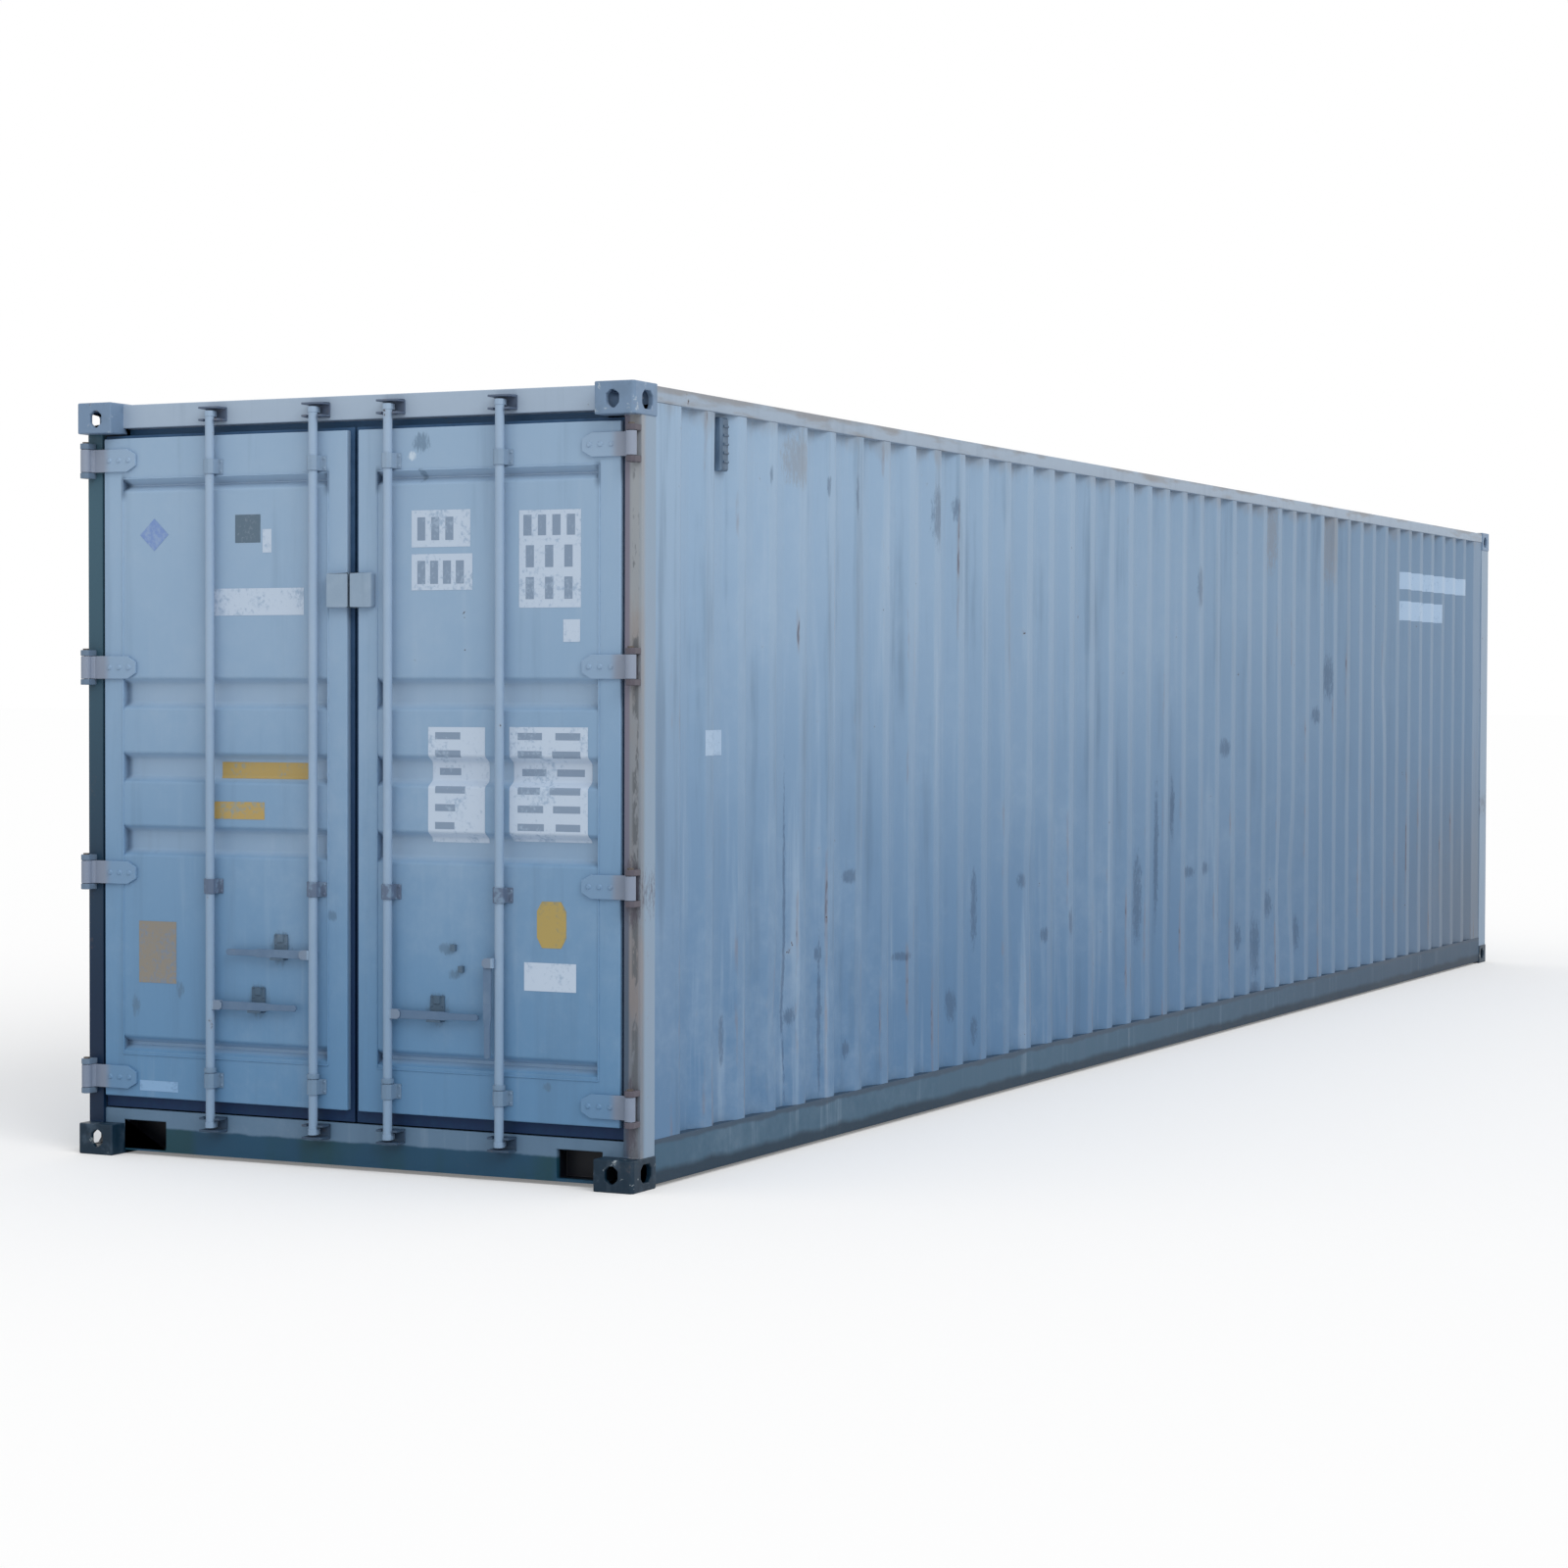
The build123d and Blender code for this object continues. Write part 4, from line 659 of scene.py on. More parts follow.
def wall_marks(finish, colour):
    length = finish.along("X")
    height = finish.along("Z")
    # Towards the far end the wall is coloured darker, partly its own tone and partly painted shade.
    far = length.step(-6.0, 6.2, 0.0, 0.75)
    colour = finish.mix(far, colour, WALL_FAR)
    scorch = length.step(3.2, 5.9) * height.step(1.7, 0.3)
    colour = finish.mix(scorch * 0.55, colour, WALL_SCORCH)
    phase = abs(((length - WALL_FIRST_FLAT) / WALL_PITCH + 0.5).cycled() - 0.5)
    bend = abs(phase - WALL_BEND_PHASE).step(0.05, 0.015)
    flecks = finish.noise(6.0, 4.0, 0.7, stretch=(1.0, 1.0, 0.28))
    slits = bend * (flecks + height.step(1.7, 0.3, 0.0, 0.07)).step(0.68, 0.71)
    colour = finish.mix(slits * 0.7, colour, WALL_SLIT)
    stain = bend * (flecks + height.step(1.8, 0.3, 0.0, 0.09)).step(0.58, 0.7, 0.0, 0.3)
    colour = finish.mix(stain, colour, RUST_LIGHT)
    near_side = finish.along("Y").step(-1.1, -1.15)
    colour = finish.mix(scar(finish, WALL_SCARS, "X") * near_side * 0.5, colour, WALL_SLIT)
    colour = finish.mix(scar(finish, WALL_RUNS, "X") * near_side * 0.4, colour, TOP_RAIL_RUST)
    under_rail = (height + (flecks - 0.5) * 0.3).step(2.77, 2.86, 0.0, 0.35)
    return finish.mix(under_rail, colour, TOP_RAIL_RUST)


wall_enamel = enamel(
    "wall_enamel", WALL_HIGH, WALL_LOW, base=0.0, rust=0.3, streaks=0.8, chalk=0.5, marks=wall_marks
)
wall_low, wall_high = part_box("right_wall")
walls = {}
for node in ("right_wall", "left_wall"):
    shape = clean_copy(node)
    round_edges(shape, WALL_BEND, segments=2)
    for row in range(1, WALL_ROWS):
        row_height = wall_low.z + (wall_high.z - wall_low.z) * row / WALL_ROWS
        bmesh.ops.bisect_plane(
            shape,
            geom=shape.verts[:] + shape.edges[:] + shape.faces[:],
            plane_co=(0.0, 0.0, row_height),
            plane_no=(0.0, 0.0, 1.0),
            dist=JOIN_DISTANCE,
        )
    inward = 1.0 if node == "right_wall" else -1.0
    for vertex in shape.verts:
        place = vertex.co
        hold = min(place.z - wall_low.z, wall_high.z - place.z, 0.3) / 0.3
        push = WALL_WAVE * (1.0 + noise.noise((place.x * 1.3, inward, place.z * 1.1)))
        for wall, along, up, reach, depth in WALL_DENTS:
            if wall == node:
                away = math.hypot(place.x - along, (place.z - up) * 0.7) / reach
                push += depth * math.exp(-3.0 * away * away)
        vertex.co.y += inward * hold * push
    walls[node] = stand_in(shape, node, wall_enamel)

# Front wall and roof.
# The front wall has deeper and steeper corrugations, and the roof is flat sheet with shallow
# stamped troughs that shed water. The roof is chalky and its troughs hold rust.
ROOF_TONE = srgb(140, 160, 180)


def roof_marks(finish, colour):
    depth = finish.along("Z").step(2.888, 2.872)
    puddle = finish.noise(2.5, 5.0, 0.65)
    return finish.mix((depth * 0.2 + puddle * 0.75).step(0.42, 0.7, 0.0, 0.75), colour, TOP_RAIL_RUST)


front_enamel = enamel("front_wall_enamel", WALL_HIGH, WALL_LOW, base=0.1, rust=0.5, streaks=0.9, chalk=0.6)
roof_enamel = enamel(
    "roof_enamel", ROOF_TONE, ROOF_TONE, rust=0.7, streaks=0.0, chalk=1.0, marks=roof_marks
)
rounded("front_wall", WALL_BEND, front_enamel)
rounded("roof", TUBE_EDGE, roof_enamel)

# Ventilators.
# A small pressed box is riveted high in a recess of each side wall, with slots that face
# down. Both are coloured darker in blotches.
VENT_DARK_TONE = srgb(64, 84, 106)


def vent_marks(finish, colour):
    dark_blotches = finish.noise(12.0, 3.0, 0.6, stretch=(1.0, 1.0, 0.2))
    return finish.mix(dark_blotches.step(0.3, 0.6, 0.35, 0.9), colour, VENT_DARK_TONE)


vent_enamel = enamel("ventilator_enamel", WALL_HIGH, WALL_LOW, rust=0.6, marks=vent_marks)
VENT_EDGE = 0.003
VENT_HALF_WIDTH = 0.031
LOUVRE_LENGTH = 0.038
LOUVRE_RADIUS = 0.0055
LOUVRE_RISES = (-0.066, -0.033, 0.0, 0.033, 0.066)
rounded("ventilators", VENT_EDGE, vent_enamel)
vent_low, vent_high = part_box("ventilators")
for side_name, side, middle in (
    ("right", -1.0, vent_low.x + VENT_HALF_WIDTH),
    ("left", 1.0, vent_high.x - VENT_HALF_WIDTH),
):
    shape = bmesh.new()
    face = Vector((middle, side * vent_high.y, (vent_low.z + vent_high.z) / 2))
    lying = Matrix.Rotation(math.pi / 2, 4, "Y")
    for rise in LOUVRE_RISES:
        bmesh.ops.create_cone(
            shape,
            cap_ends=True,
            segments=12,
            radius1=LOUVRE_RADIUS,
            radius2=LOUVRE_RADIUS,
            depth=LOUVRE_LENGTH,
            matrix=Matrix.Translation(face + Vector((0.0, 0.0, rise))) @ lying,
        )
    bmesh.ops.bisect_plane(
        shape,
        geom=shape.verts[:] + shape.edges[:] + shape.faces[:],
        plane_co=face,
        plane_no=(0.0, -side, 0.0),
        clear_outer=True,
    )
    bmesh.ops.holes_fill(shape, edges=shape.edges[:])
    fit(shape, side_name + "_ventilator_louvres", vent_enamel, "container")

# Floor.
# Sheets of marine plywood are screwed down on the cross members, with a flat steel bar
# between the two rows and a steel threshold by the doors. Fork trucks scuff it dark.
plywood_finish = Finish("floor_plywood")
plywood_grain = plywood_finish.noise(5.0, 6.0, 0.6, stretch=(0.12, 1.0, 1.0))
plywood_scuff = plywood_finish.noise(1.2, 4.0, 0.6, stretch=(0.25, 1.0, 1.0))
plywood_colour = plywood_finish.mix(plywood_grain, srgb(96, 70, 48), srgb(150, 114, 80))
plywood_scuffed = plywood_scuff.step(0.45, 0.7, 0.0, 0.6)
plywood = plywood_finish.shade(
    Base_Color=plywood_finish.mix(plywood_scuffed, plywood_colour, srgb(64, 50, 42)),
    Roughness=plywood_grain * 0.3 + 0.45,
)
BOARD_LENGTH = 1.22
BOARD_SEAM = 0.002
SEAM_DEPTH = 0.0015

shape = clean_copy("floor_boards")
floor_low, floor_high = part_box("floor_boards")
seam = floor_low.x + BOARD_LENGTH
while seam < floor_high.x - BOARD_LENGTH / 2:
    bmesh.ops.bisect_plane(
        shape,
        geom=shape.verts[:] + shape.edges[:] + shape.faces[:],
        plane_co=(seam, 0.0, 0.0),
        plane_no=(1.0, 0.0, 0.0),
        dist=JOIN_DISTANCE,
    )
    seam += BOARD_LENGTH
board_tops = [face for face in shape.faces if face.normal.z > 0.9]
bmesh.ops.inset_individual(
    shape, faces=board_tops, thickness=BOARD_SEAM, depth=-SEAM_DEPTH, use_even_offset=True
)
stand_in(shape, "floor_boards", plywood)

steel_finish = Finish("worn_steel")
steel_grain = steel_finish.noise(30.0, 5.0)
worn_steel = steel_finish.shade(
    Base_Color=steel_finish.mix(steel_grain, srgb(70, 60, 54), srgb(128, 122, 116)),
    Roughness=steel_grain * 0.4 + 0.35,
    Metallic=0.6,
)


def heads(name, places, outward, radius, height, material, body, sides=8):
    """Domed heads of rivets, bolts or screws on a face that looks outward."""
    shape = bmesh.new()
    turn = outward.to_track_quat("Z", "Y").to_matrix().to_4x4()
    for place in places:
        bmesh.ops.create_cone(
            shape,
            cap_ends=True,
            segments=sides,
            radius1=radius,
            radius2=radius * 0.6,
            depth=height,
            matrix=Matrix.Translation(Vector(place) + outward * height / 2) @ turn,
        )
    return fit(shape, name, material, body)


SCREW_PITCH = 0.305
SCREW_ROWS = (-1.05, -0.8, -0.3, -0.06, 0.06, 0.3, 0.8, 1.05)
SCREW_RADIUS = 0.006
SCREW_RISE = 0.001
screws = []
screw_x = floor_low.x + SCREW_PITCH / 2
while screw_x < floor_high.x:
    screws += [(screw_x, row, floor_high.z + SEAM_DEPTH) for row in SCREW_ROWS]
    screw_x += SCREW_PITCH
heads(
    "floor_screws",
    screws,
    Vector((0.0, 0.0, 1.0)),
    SCREW_RADIUS,
    SCREW_RISE,
    worn_steel,
    "container",
)
carried("floor_centre_rail", worn_steel)
carried("threshold_plate", worn_steel)

# Door leaves.
# Each leaf is a ring of rectangular tubes with a pressed panel welded in it. The panel's
# level grooves stiffen it; their recessed faces are painted lighter as painted light, and
# their ends darker with painted shade and dirt. Knocks have left bare marks.
DOOR_HIGH = srgb(145, 172, 199)
DOOR_LOW = srgb(92, 134, 172)
GROOVE_END_SHADE_AND_DIRT = srgb(78, 100, 126)
BRUISE = srgb(82, 108, 132)
CHIP = srgb(196, 212, 226)
GROOVE_NEAR = 0.108
GROOVE_FAR = 1.045
DOOR_BRUISES = (
    (-0.3, 2.706, 0.036, 0.034),
    (0.087, 0.95, 0.02, 0.022),
    (-0.411, 0.846, 0.036, 0.022),
    (-0.443, 0.752, 0.026, 0.018),
    (0.986, 0.58, 0.018, 0.04),
    (0.779, 0.647, 0.016, 0.032),
    (-0.836, 0.358, 0.018, 0.016),
    (-0.3, 2.586, 0.014, 0.024),
    (0.418, 0.62, 0.045, 0.06),
    (0.316, 0.82, 0.045, 0.06),
    (-0.372, 0.62, 0.045, 0.06),
)
DOOR_CHIPS = ((-0.262, 2.656, 0.02, 0.016),)
LEAF_EDGE = 0.005
PANEL_BEND = 0.008


def door_marks(finish, colour):
    across = abs(finish.along("Y"))
    height = finish.along("Z")
    depth = finish.along("X").step(-6.034, -6.006)
    smear = finish.noise(8.0, 4.0, 0.6, stretch=(1.0, 0.5, 1.0))
    ends = abs(across - (GROOVE_NEAR + GROOVE_FAR) / 2).step(0.44, 0.465)
    # Recessed groove faces are coloured lighter, a painted light that softens their shading.
    colour = finish.mix(depth * 0.3, colour, CHALK)
    # Groove ends and the top groove's hooked ends are darkened, partly painted shade and partly dirt.
    colour = finish.mix(depth * ends * (smear * 0.8 + 0.3), colour, GROOVE_END_SHADE_AND_DIRT)
    hooks = ends * (1.0 - abs(across - (GROOVE_NEAR + GROOVE_FAR) / 2).step(0.47, 0.478))
    hooks = hooks * height.step(2.51, 2.55) * height.step(2.63, 2.6)
    colour = finish.mix(hooks * 0.6, colour, GROOVE_END_SHADE_AND_DIRT)
    colour = finish.mix(scar(finish, DOOR_BRUISES, "Y") * 0.6, colour, BRUISE)
    return finish.mix(scar(finish, DOOR_CHIPS, "Y") * 0.9, colour, CHIP)


door_enamel = enamel(
    "door_enamel",
    DOOR_HIGH,
    DOOR_LOW,
    base=0.1,
    top=2.7,
    rust=0.08,
    streaks=0.35,
    chalk=0.4,
    marks=door_marks,
)
leaf_frames = {}
leaf_panels = {}
for door in ("left", "right"):
    leaf_frames[door] = rounded(door + "_door_frame", LEAF_EDGE, door_enamel, segments=3)
    leaf_panels[door] = rounded(door + "_door_panel", PANEL_BEND, door_enamel, segments=2)

PANEL_WELD_RADIUS = 0.0035
LEAF_FACE = -6.036
PANEL_LOW = 0.39
PANEL_HIGH = 2.605
for door, side in (("left", 1.0), ("right", -1.0)):
    near = side * GROOVE_NEAR
    far = side * GROOVE_FAR
    runs = [
        ((LEAF_FACE, near, PANEL_LOW), (LEAF_FACE, near, PANEL_HIGH)),
        ((LEAF_FACE, far, PANEL_LOW), (LEAF_FACE, far, PANEL_HIGH)),
        ((LEAF_FACE, near, PANEL_LOW), (LEAF_FACE, far, PANEL_LOW)),
        ((LEAF_FACE, near, PANEL_HIGH), (LEAF_FACE, far, PANEL_HIGH)),
    ]
    weld(door + "_panel_welds", runs, PANEL_WELD_RADIUS, door_enamel, door + "_door")

# Door gaskets.
# An extruded rubber profile runs round each leaf, held by riveted strips. It is navy, and
# darker towards the bottom as painted shade of the gap under the doors.
RUBBER_HIGH = srgb(52, 84, 118)
RUBBER_LOW = srgb(6, 40, 78)
rubber_finish = Finish("door_gasket_rubber")
rubber_grain = rubber_finish.noise(20.0, 4.0)
# Darker towards the bottom: painted shade of the gap under the doors.
rubber_shade_by_height = rubber_finish.along("Z").step(0.3, 2.7)
rubber_colour = rubber_finish.mix(rubber_shade_by_height, RUBBER_LOW, RUBBER_HIGH)
rubber = rubber_finish.shade(
    Base_Color=rubber_finish.mix(rubber_grain.step(0.4, 0.7, 0.0, 0.4), rubber_colour, NAVY),
    Roughness=rubber_grain * 0.3 + 0.5,
    Specular_IOR_Level=PAINT_GLOSS,
)
for door in ("left", "right"):
    carried(door + "_door_gasket", rubber)

# Seal box.
# A folded steel cover over the seam shields the customs seal, half of it on each leaf.
SEAL_BOX_EDGE = 0.008
seal_enamel = enamel("seal_box_enamel", srgb(136, 158, 180), srgb(128, 150, 172), rust=0.4, chalk=0.8)
for door in ("left", "right"):
    rounded(door + "_seal_box", SEAL_BOX_EDGE, seal_enamel, segments=3)

# Hinges.
# Four forged blades on each leaf turn on headed pins between lugs that are welded to the
# post. Each blade is bolted through the leaf's stile, and the lugs are brown with rust.
BLADE_TONE = srgb(140, 150, 168)
LUG_TONE = srgb(86, 82, 92)
LUG_PAINTED = srgb(104, 128, 152)


def blade_marks(finish, colour):
    arm = abs(finish.along("Y")).step(1.13, 1.09)
    arm_tone = finish.mix(finish.along("Z").step(0.1, 2.7), DOOR_LOW, DOOR_HIGH)
    return finish.mix(arm * 0.85, colour, arm_tone)


def lug_marks(finish, colour):
    return finish.mix(finish.along("Y").above(0.0) * 0.8, colour, LUG_PAINTED)


blade_enamel = enamel(
    "hinge_blade_enamel", BLADE_TONE, srgb(124, 136, 156), rust=0.5, streaks=0.2, marks=blade_marks
)
lug_enamel = enamel(
    "hinge_lug_enamel", LUG_TONE, LUG_TONE, rust=0.6, streaks=0.2, chalk=0.1, marks=lug_marks
)
HINGE_HEIGHTS = (0.3, 1.09, 1.88, 2.675)
HINGE_BOLTS = (1.1, 1.055, 1.01)
HINGE_BOLT_RADIUS = 0.011
HINGE_BOLT_RISE = 0.005
BLADE_EDGE = 0.003
LUG_EDGE = 0.0025
BLADE_FACE = -6.048
for door, side in (("left", 1.0), ("right", -1.0)):
    rounded(door + "_hinge_blades", BLADE_EDGE, blade_enamel)
    bolts = [(BLADE_FACE, side * bolt, height) for bolt in HINGE_BOLTS for height in HINGE_HEIGHTS]
    heads(
        door + "_hinge_bolts",
        bolts,
        Vector((-1.0, 0.0, 0.0)),
        HINGE_BOLT_RADIUS,
        HINGE_BOLT_RISE,
        blade_enamel,
        door + "_door",
        sides=12,
    )
rounded("hinge_lugs", LUG_EDGE, lug_enamel)
carried("hinge_pins", worn_steel)

# Cam keepers.
# Forked plates on the header and the sill that the rods' cams bite behind when the door is
# locked. Their jaws are dark with grease and rust.
FITTING_EDGE = 0.002
keeper_enamel = enamel(
    "keeper_enamel", srgb(86, 100, 122), srgb(56, 76, 98), rust=1.0, streaks=0.2, chalk=0.1
)
rounded("cam_keepers", FITTING_EDGE, keeper_enamel)

# Rod guides.
# A folded saddle on a plate, riveted to the leaf, holds each rod at three heights.
GUIDE_HEIGHTS = (0.31, 1.05, 2.64)
GUIDE_RIVETS = ((-0.033, -0.018), (-0.033, 0.018), (0.033, -0.018), (0.033, 0.018))
GUIDE_RIVET_RADIUS = 0.006
RIVET_RISE = 0.003
GUIDE_FACE = -6.041
GUIDE_STAIN = srgb(84, 98, 122)
ROD_PLACES = {"outer_left": 0.62, "inner_left": 0.155, "inner_right": -0.173, "outer_right": -0.65}


def guide_marks(finish, colour):
    greasy = finish.noise(30.0, 3.0, 0.6)
    middle = abs(finish.along("Z") - GUIDE_HEIGHTS[1]).step(0.05, 0.03)
    return finish.mix(middle * greasy.step(0.35, 0.5, 0.2, 0.85), colour, GUIDE_STAIN)


guide_enamel = enamel(
    "rod_guide_enamel", srgb(130, 153, 177), srgb(106, 132, 158), rust=0.5, marks=guide_marks
)
for door in ("left", "right"):
    rounded(door + "_rod_guides", FITTING_EDGE, guide_enamel)
    rivets = [
        (GUIDE_FACE, rod_y + across, height + up)
        for rod, rod_y in ROD_PLACES.items()
        if rod.endswith(door)
        for height in GUIDE_HEIGHTS
        for across, up in GUIDE_RIVETS
    ]
    heads(
        door + "_guide_rivets",
        rivets,
        Vector((-1.0, 0.0, 0.0)),
        GUIDE_RIVET_RADIUS,
        RIVET_RISE,
        guide_enamel,
        door + "_door",
    )

# Lock rods.
# Four steel tubes with a cam welded on each end and a forked hub for the handle turn in
# their guides. Hands and weather keep them paler than the doors.
HUB_TONE = srgb(112, 128, 150)
ROD_X = -6.066
COLLAR_BASE = 0.341
COLLAR_PROFILE = (
    (0.0172, 0.0),
    (0.022, 0.0),
    (0.0235, 0.002),
    (0.0235, 0.016),
    (0.022, 0.018),
    (0.0172, 0.018),
)
COLLAR_STEPS = 24


def rod_marks(finish, colour):
    across = finish.along("Y")
    nearest = None
    for rod_y in ROD_PLACES.values():
        away = abs(across - rod_y)
        nearest = nearest.least(away) if nearest else away
    return finish.mix(nearest.step(0.019, 0.023, 0.0, 0.85), colour, HUB_TONE)


rod_enamel = enamel(
    "lock_rod_enamel", srgb(148, 171, 196), srgb(126, 152, 179), rust=0.5, streaks=0.2, marks=rod_marks
)
for rod, rod_y in ROD_PLACES.items():
    rounded("lock_rod_" + rod, FITTING_EDGE, rod_enamel)
    shape = bmesh.new()
    profile = [
        shape.verts.new((ROD_X + reach, rod_y, COLLAR_BASE + rise)) for reach, rise in COLLAR_PROFILE
    ]
    outline = [shape.edges.new(ends) for ends in zip(profile, profile[1:] + profile[:1])]
    bmesh.ops.spin(
        shape,
        geom=profile + outline,
        cent=(ROD_X, rod_y, 0.0),
        axis=(0.0, 0.0, 1.0),
        angle=2 * math.pi,
        steps=COLLAR_STEPS,
        use_merge=True,
    )
    bmesh.ops.recalc_face_normals(shape, faces=shape.faces[:])
    fit(shape, "lock_rod_collar_" + rod, guide_enamel, "rod_" + rod)

# Handles and their retainers.
# Each handle is a flat bar pinned in the rod's hub, dropped behind a hasp on a riveted
# plate. The outer right one hangs down because its retainer is broken off.
handle_enamel = enamel("handle_enamel", srgb(100, 124, 150), srgb(84, 110, 140), rust=0.5, streaks=0.1)
for rod in ROD_PLACES:
    rounded("handle_" + rod, FITTING_EDGE, handle_enamel)
retainer_enamel = enamel("retainer_enamel", srgb(72, 98, 120), srgb(68, 92, 114), rust=0.5, streaks=0.2)
RETAINERS = {"left": ((0.418, 0.604), (0.316, 0.807)), "right": ((-0.372, 0.604),)}
RETAINER_RIVETS = ((-0.022, 0.066), (0.022, 0.066), (-0.022, 0.03), (0.022, 0.03))
RETAINER_RIVET_RADIUS = 0.005
RETAINER_EDGE = 0.0015
RETAINER_FACE = -6.041
for door, retainers in RETAINERS.items():
    rounded(door + "_handle_retainers", RETAINER_EDGE, retainer_enamel)
    rivets = [
        (RETAINER_FACE, across + rivet_y, height + rivet_z)
        for across, height in retainers
        for rivet_y, rivet_z in RETAINER_RIVETS
    ]
    heads(
        door + "_retainer_rivets",
        rivets,
        Vector((-1.0, 0.0, 0.0)),
        RETAINER_RIVET_RADIUS,
        RIVET_RISE,
        retainer_enamel,
        door + "_door",
    )

# Painted marks and vinyl patches.
# Plain patches and rows of plain bars lie on the right leaf, on the left leaf and on the
# side wall, where such containers carry their data. They follow the pressed grooves.
SKIN_LIFT = 0.0008
SKIN_THICKNESS = 0.0004
SKIN_TURN = 0.25
TO_THE_REAR = Vector((-1.0, 0.0, 0.0))
TO_THE_RIGHT = Vector((0.0, -1.0, 0.0))


def oblong(low, high, bottom, top):
    return ((low, bottom), (high, bottom), (high, top), (low, top))


def painted(name, surface, outward, outlines, material, body, lift=SKIN_LIFT):
    """Thin skins cut from a piece's outer faces to convex outlines, given along it and in Z."""
    whole = bmesh.new()
    along = Vector((0.0, 1.0, 0.0)) if outward.x else Vector((1.0, 0.0, 0.0))
    for outline in outlines:
        skin = bmesh.new()
        skin.from_mesh(surface.data)
        turned = [face for face in skin.faces if face.normal.dot(outward) < SKIN_TURN]
        bmesh.ops.delete(skin, geom=turned, context="FACES")
        corners = [along * place + Vector((0.0, 0.0, height)) for place, height in outline]
        middle = sum(corners, Vector()) / len(corners)
        for first, second in zip(corners, corners[1:] + corners[:1]):
            across = (second - first).cross(outward)
            if across.dot(first - middle) < 0:
                across.negate()
            bmesh.ops.bisect_plane(
                skin,
                geom=skin.verts[:] + skin.edges[:] + skin.faces[:],
                plane_co=first,
                plane_no=across,
                clear_outer=True,
            )
        cut = bpy.data.meshes.new(name + "_cut")
        skin.to_mesh(cut)
        skin.free()
        whole.from_mesh(cut)
        bpy.data.meshes.remove(cut)
    bmesh.ops.translate(whole, verts=whole.verts[:], vec=outward * lift)
    bmesh.ops.solidify(whole, geom=whole.faces[:], thickness=SKIN_THICKNESS)
    return fit(whole, name, material, body)


def marking(name, tone, worn_tone, wear=0.5):
    """Old paint or vinyl that has worn through to another tone in flecks."""
    finish = Finish(name)
    cloud = finish.noise(7.0, 4.0, 0.6)
    flecks = finish.noise(60.0, 4.0, 0.7)
    worn = (flecks * 0.6 + cloud * 0.5).step(0.62 - 0.12 * wear, 0.7, 0.0, 0.8)
    return finish.shade(Base_Color=finish.mix(worn, tone, worn_tone), Roughness=worn * 0.2 + 0.45)


MARK_WORN = srgb(140, 165, 192)
pale_mark = marking("pale_marking", srgb(184, 200, 219), MARK_WORN)
ink_mark = marking("ink_marking", srgb(124, 144, 168), srgb(156, 176, 198))
amber_mark = marking("amber_marking", srgb(172, 148, 88), srgb(130, 146, 148))
faded_amber_mark = marking("faded_amber_marking", srgb(166, 146, 84), srgb(124, 130, 116), wear=0.7)
orange_mark = marking("faded_orange_marking", srgb(132, 127, 118), srgb(110, 128, 150), wear=0.8)
blue_mark = marking("blue_marking", srgb(112, 140, 192), srgb(138, 162, 196), wear=0.6)
slate_mark = marking("slate_marking", srgb(84, 106, 124), srgb(118, 134, 150), wear=0.2)

right_patches = (
    oblong(-0.509, -0.258, 2.32, 2.456),
    oblong(-0.518, -0.258, 2.162, 2.295),
    oblong(-0.971, -0.715, 2.094, 2.447),
    oblong(-0.968, -0.899, 1.97, 2.051),
    oblong(-0.572, -0.33, 1.236, 1.66),
    oblong(-1.001, -0.675, 1.245, 1.662),
    oblong(-0.954, -0.738, 0.705, 0.808),
)
right_plates = painted(
    "right_door_patches", leaf_panels["right"], TO_THE_REAR, right_patches, pale_mark, "right_door"
)
UPRIGHT_BARS = (
    (2.345, 2.43, (-0.3, -0.36, -0.42)),
    (2.185, 2.27, (-0.3, -0.355, -0.41, -0.465)),
    (2.355, 2.43, (-0.75, -0.81, -0.87, -0.93)),
    (2.24, 2.32, (-0.76, -0.84, -0.92)),
    (2.125, 2.205, (-0.76, -0.84, -0.92)),
)
BAR_HALF_WIDTH = 0.017
BAR_LIFT = 0.0004
bars = [
    oblong(middle - BAR_HALF_WIDTH, middle + BAR_HALF_WIDTH, bottom, top)
    for bottom, top, middles in UPRIGHT_BARS
    for middle in middles
]
DATA_ROWS = 6
DATA_TOP = 1.615
DATA_ROW_PITCH = 0.066
DATA_ROW_HEIGHT = 0.026
draws = random.Random(11)
for row in range(DATA_ROWS):
    row_z = DATA_TOP - row * DATA_ROW_PITCH
    bars.append(oblong(-0.44 - draws.uniform(0.0, 0.06), -0.36, row_z, row_z + DATA_ROW_HEIGHT))
    bars.append(oblong(-0.8 - draws.uniform(0.0, 0.02), -0.71, row_z, row_z + DATA_ROW_HEIGHT))
    bars.append(oblong(-0.97, -0.83 - draws.uniform(0.0, 0.04), row_z, row_z + DATA_ROW_HEIGHT))
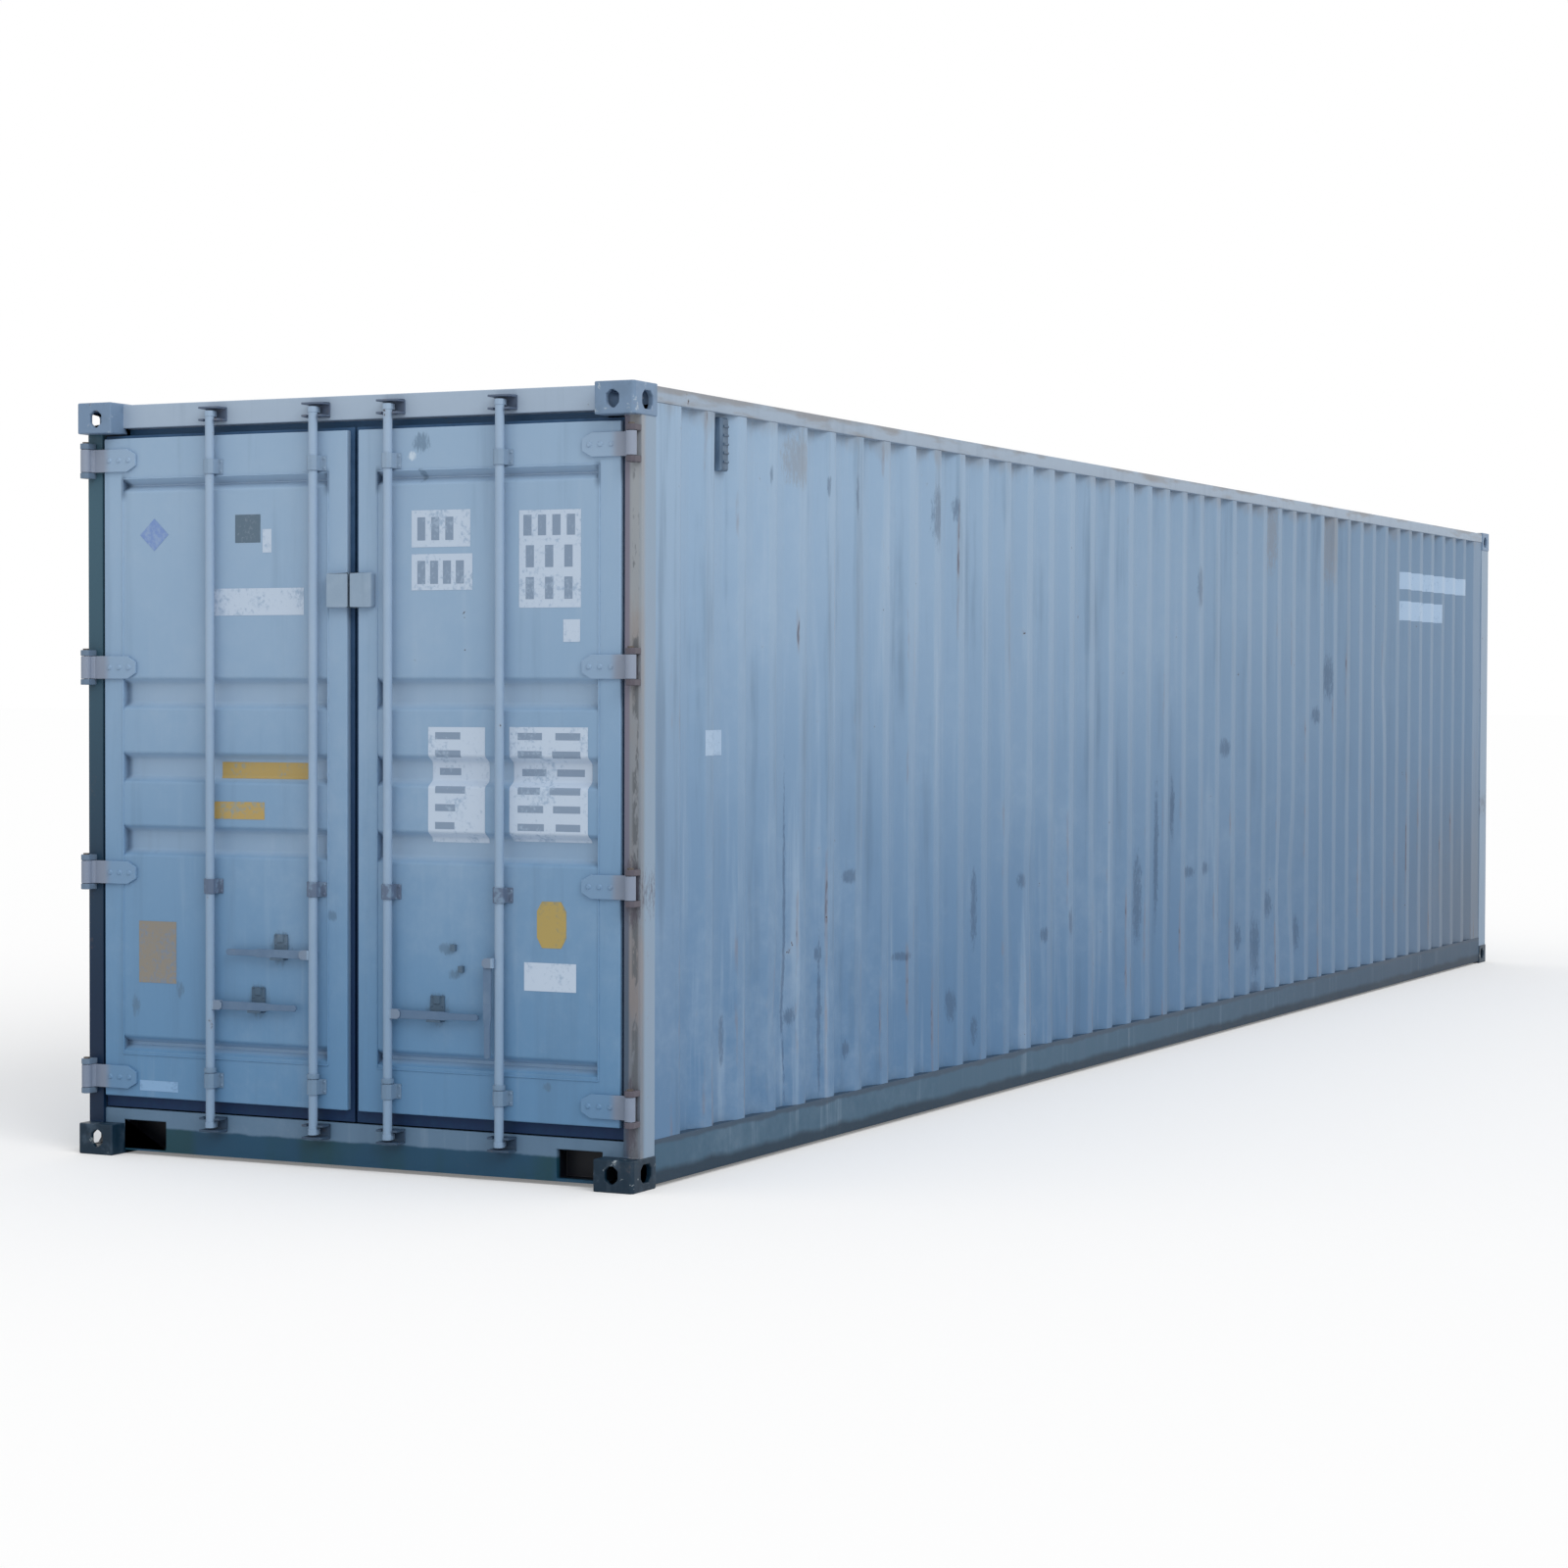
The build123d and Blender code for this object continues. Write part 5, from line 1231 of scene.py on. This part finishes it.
painted("right_door_bars", right_plates, TO_THE_REAR, bars, ink_mark, "right_door", lift=BAR_LIFT)
amber_outline = (
    (-0.892, 0.862), (-0.812, 0.862), (-0.791, 0.9), (-0.791, 0.995),
    (-0.812, 1.031), (-0.892, 1.031), (-0.913, 0.995), (-0.913, 0.9),
)
painted(
    "right_door_amber_patch",
    leaf_panels["right"],
    TO_THE_REAR,
    (amber_outline,),
    faded_amber_mark,
    "right_door",
)
painted(
    "left_door_pale_strip",
    leaf_panels["left"],
    TO_THE_REAR,
    (oblong(0.215, 0.628, 2.076, 2.178), oblong(0.36, 0.4, 2.312, 2.4)),
    pale_mark,
    "left_door",
)
painted(
    "left_door_low_patch",
    leaf_frames["left"],
    TO_THE_REAR,
    (oblong(0.79, 0.968, 0.252, 0.292),),
    marking("low_patch_marking", srgb(128, 166, 204), srgb(100, 136, 174)),
    "left_door",
)
painted(
    "left_door_amber_bands",
    leaf_panels["left"],
    TO_THE_REAR,
    (oblong(0.216, 0.606, 1.459, 1.521), oblong(0.392, 0.629, 1.305, 1.371)),
    amber_mark,
    "left_door",
)
painted(
    "left_door_orange_patch",
    leaf_panels["left"],
    TO_THE_REAR,
    (oblong(0.797, 0.971, 0.669, 0.906),),
    orange_mark,
    "left_door",
)
painted(
    "left_door_blue_diamond",
    leaf_panels["left"],
    TO_THE_REAR,
    (((0.897, 2.325), (0.963, 2.387), (0.897, 2.449), (0.831, 2.387)),),
    blue_mark,
    "left_door",
)
painted(
    "left_door_slate_patch",
    leaf_panels["left"],
    TO_THE_REAR,
    (oblong(0.41, 0.524, 2.35, 2.456),),
    slate_mark,
    "left_door",
)
painted(
    "right_wall_patches",
    walls["right_wall"],
    TO_THE_RIGHT,
    (
        oblong(3.954, 5.514, 2.462, 2.569),
        oblong(3.984, 4.924, 2.268, 2.388),
        oblong(-5.516, -5.318, 1.555, 1.65),
    ),
    marking("wall_patch_marking", srgb(158, 182, 208), srgb(136, 162, 190), wear=0.3),
    "container",
)
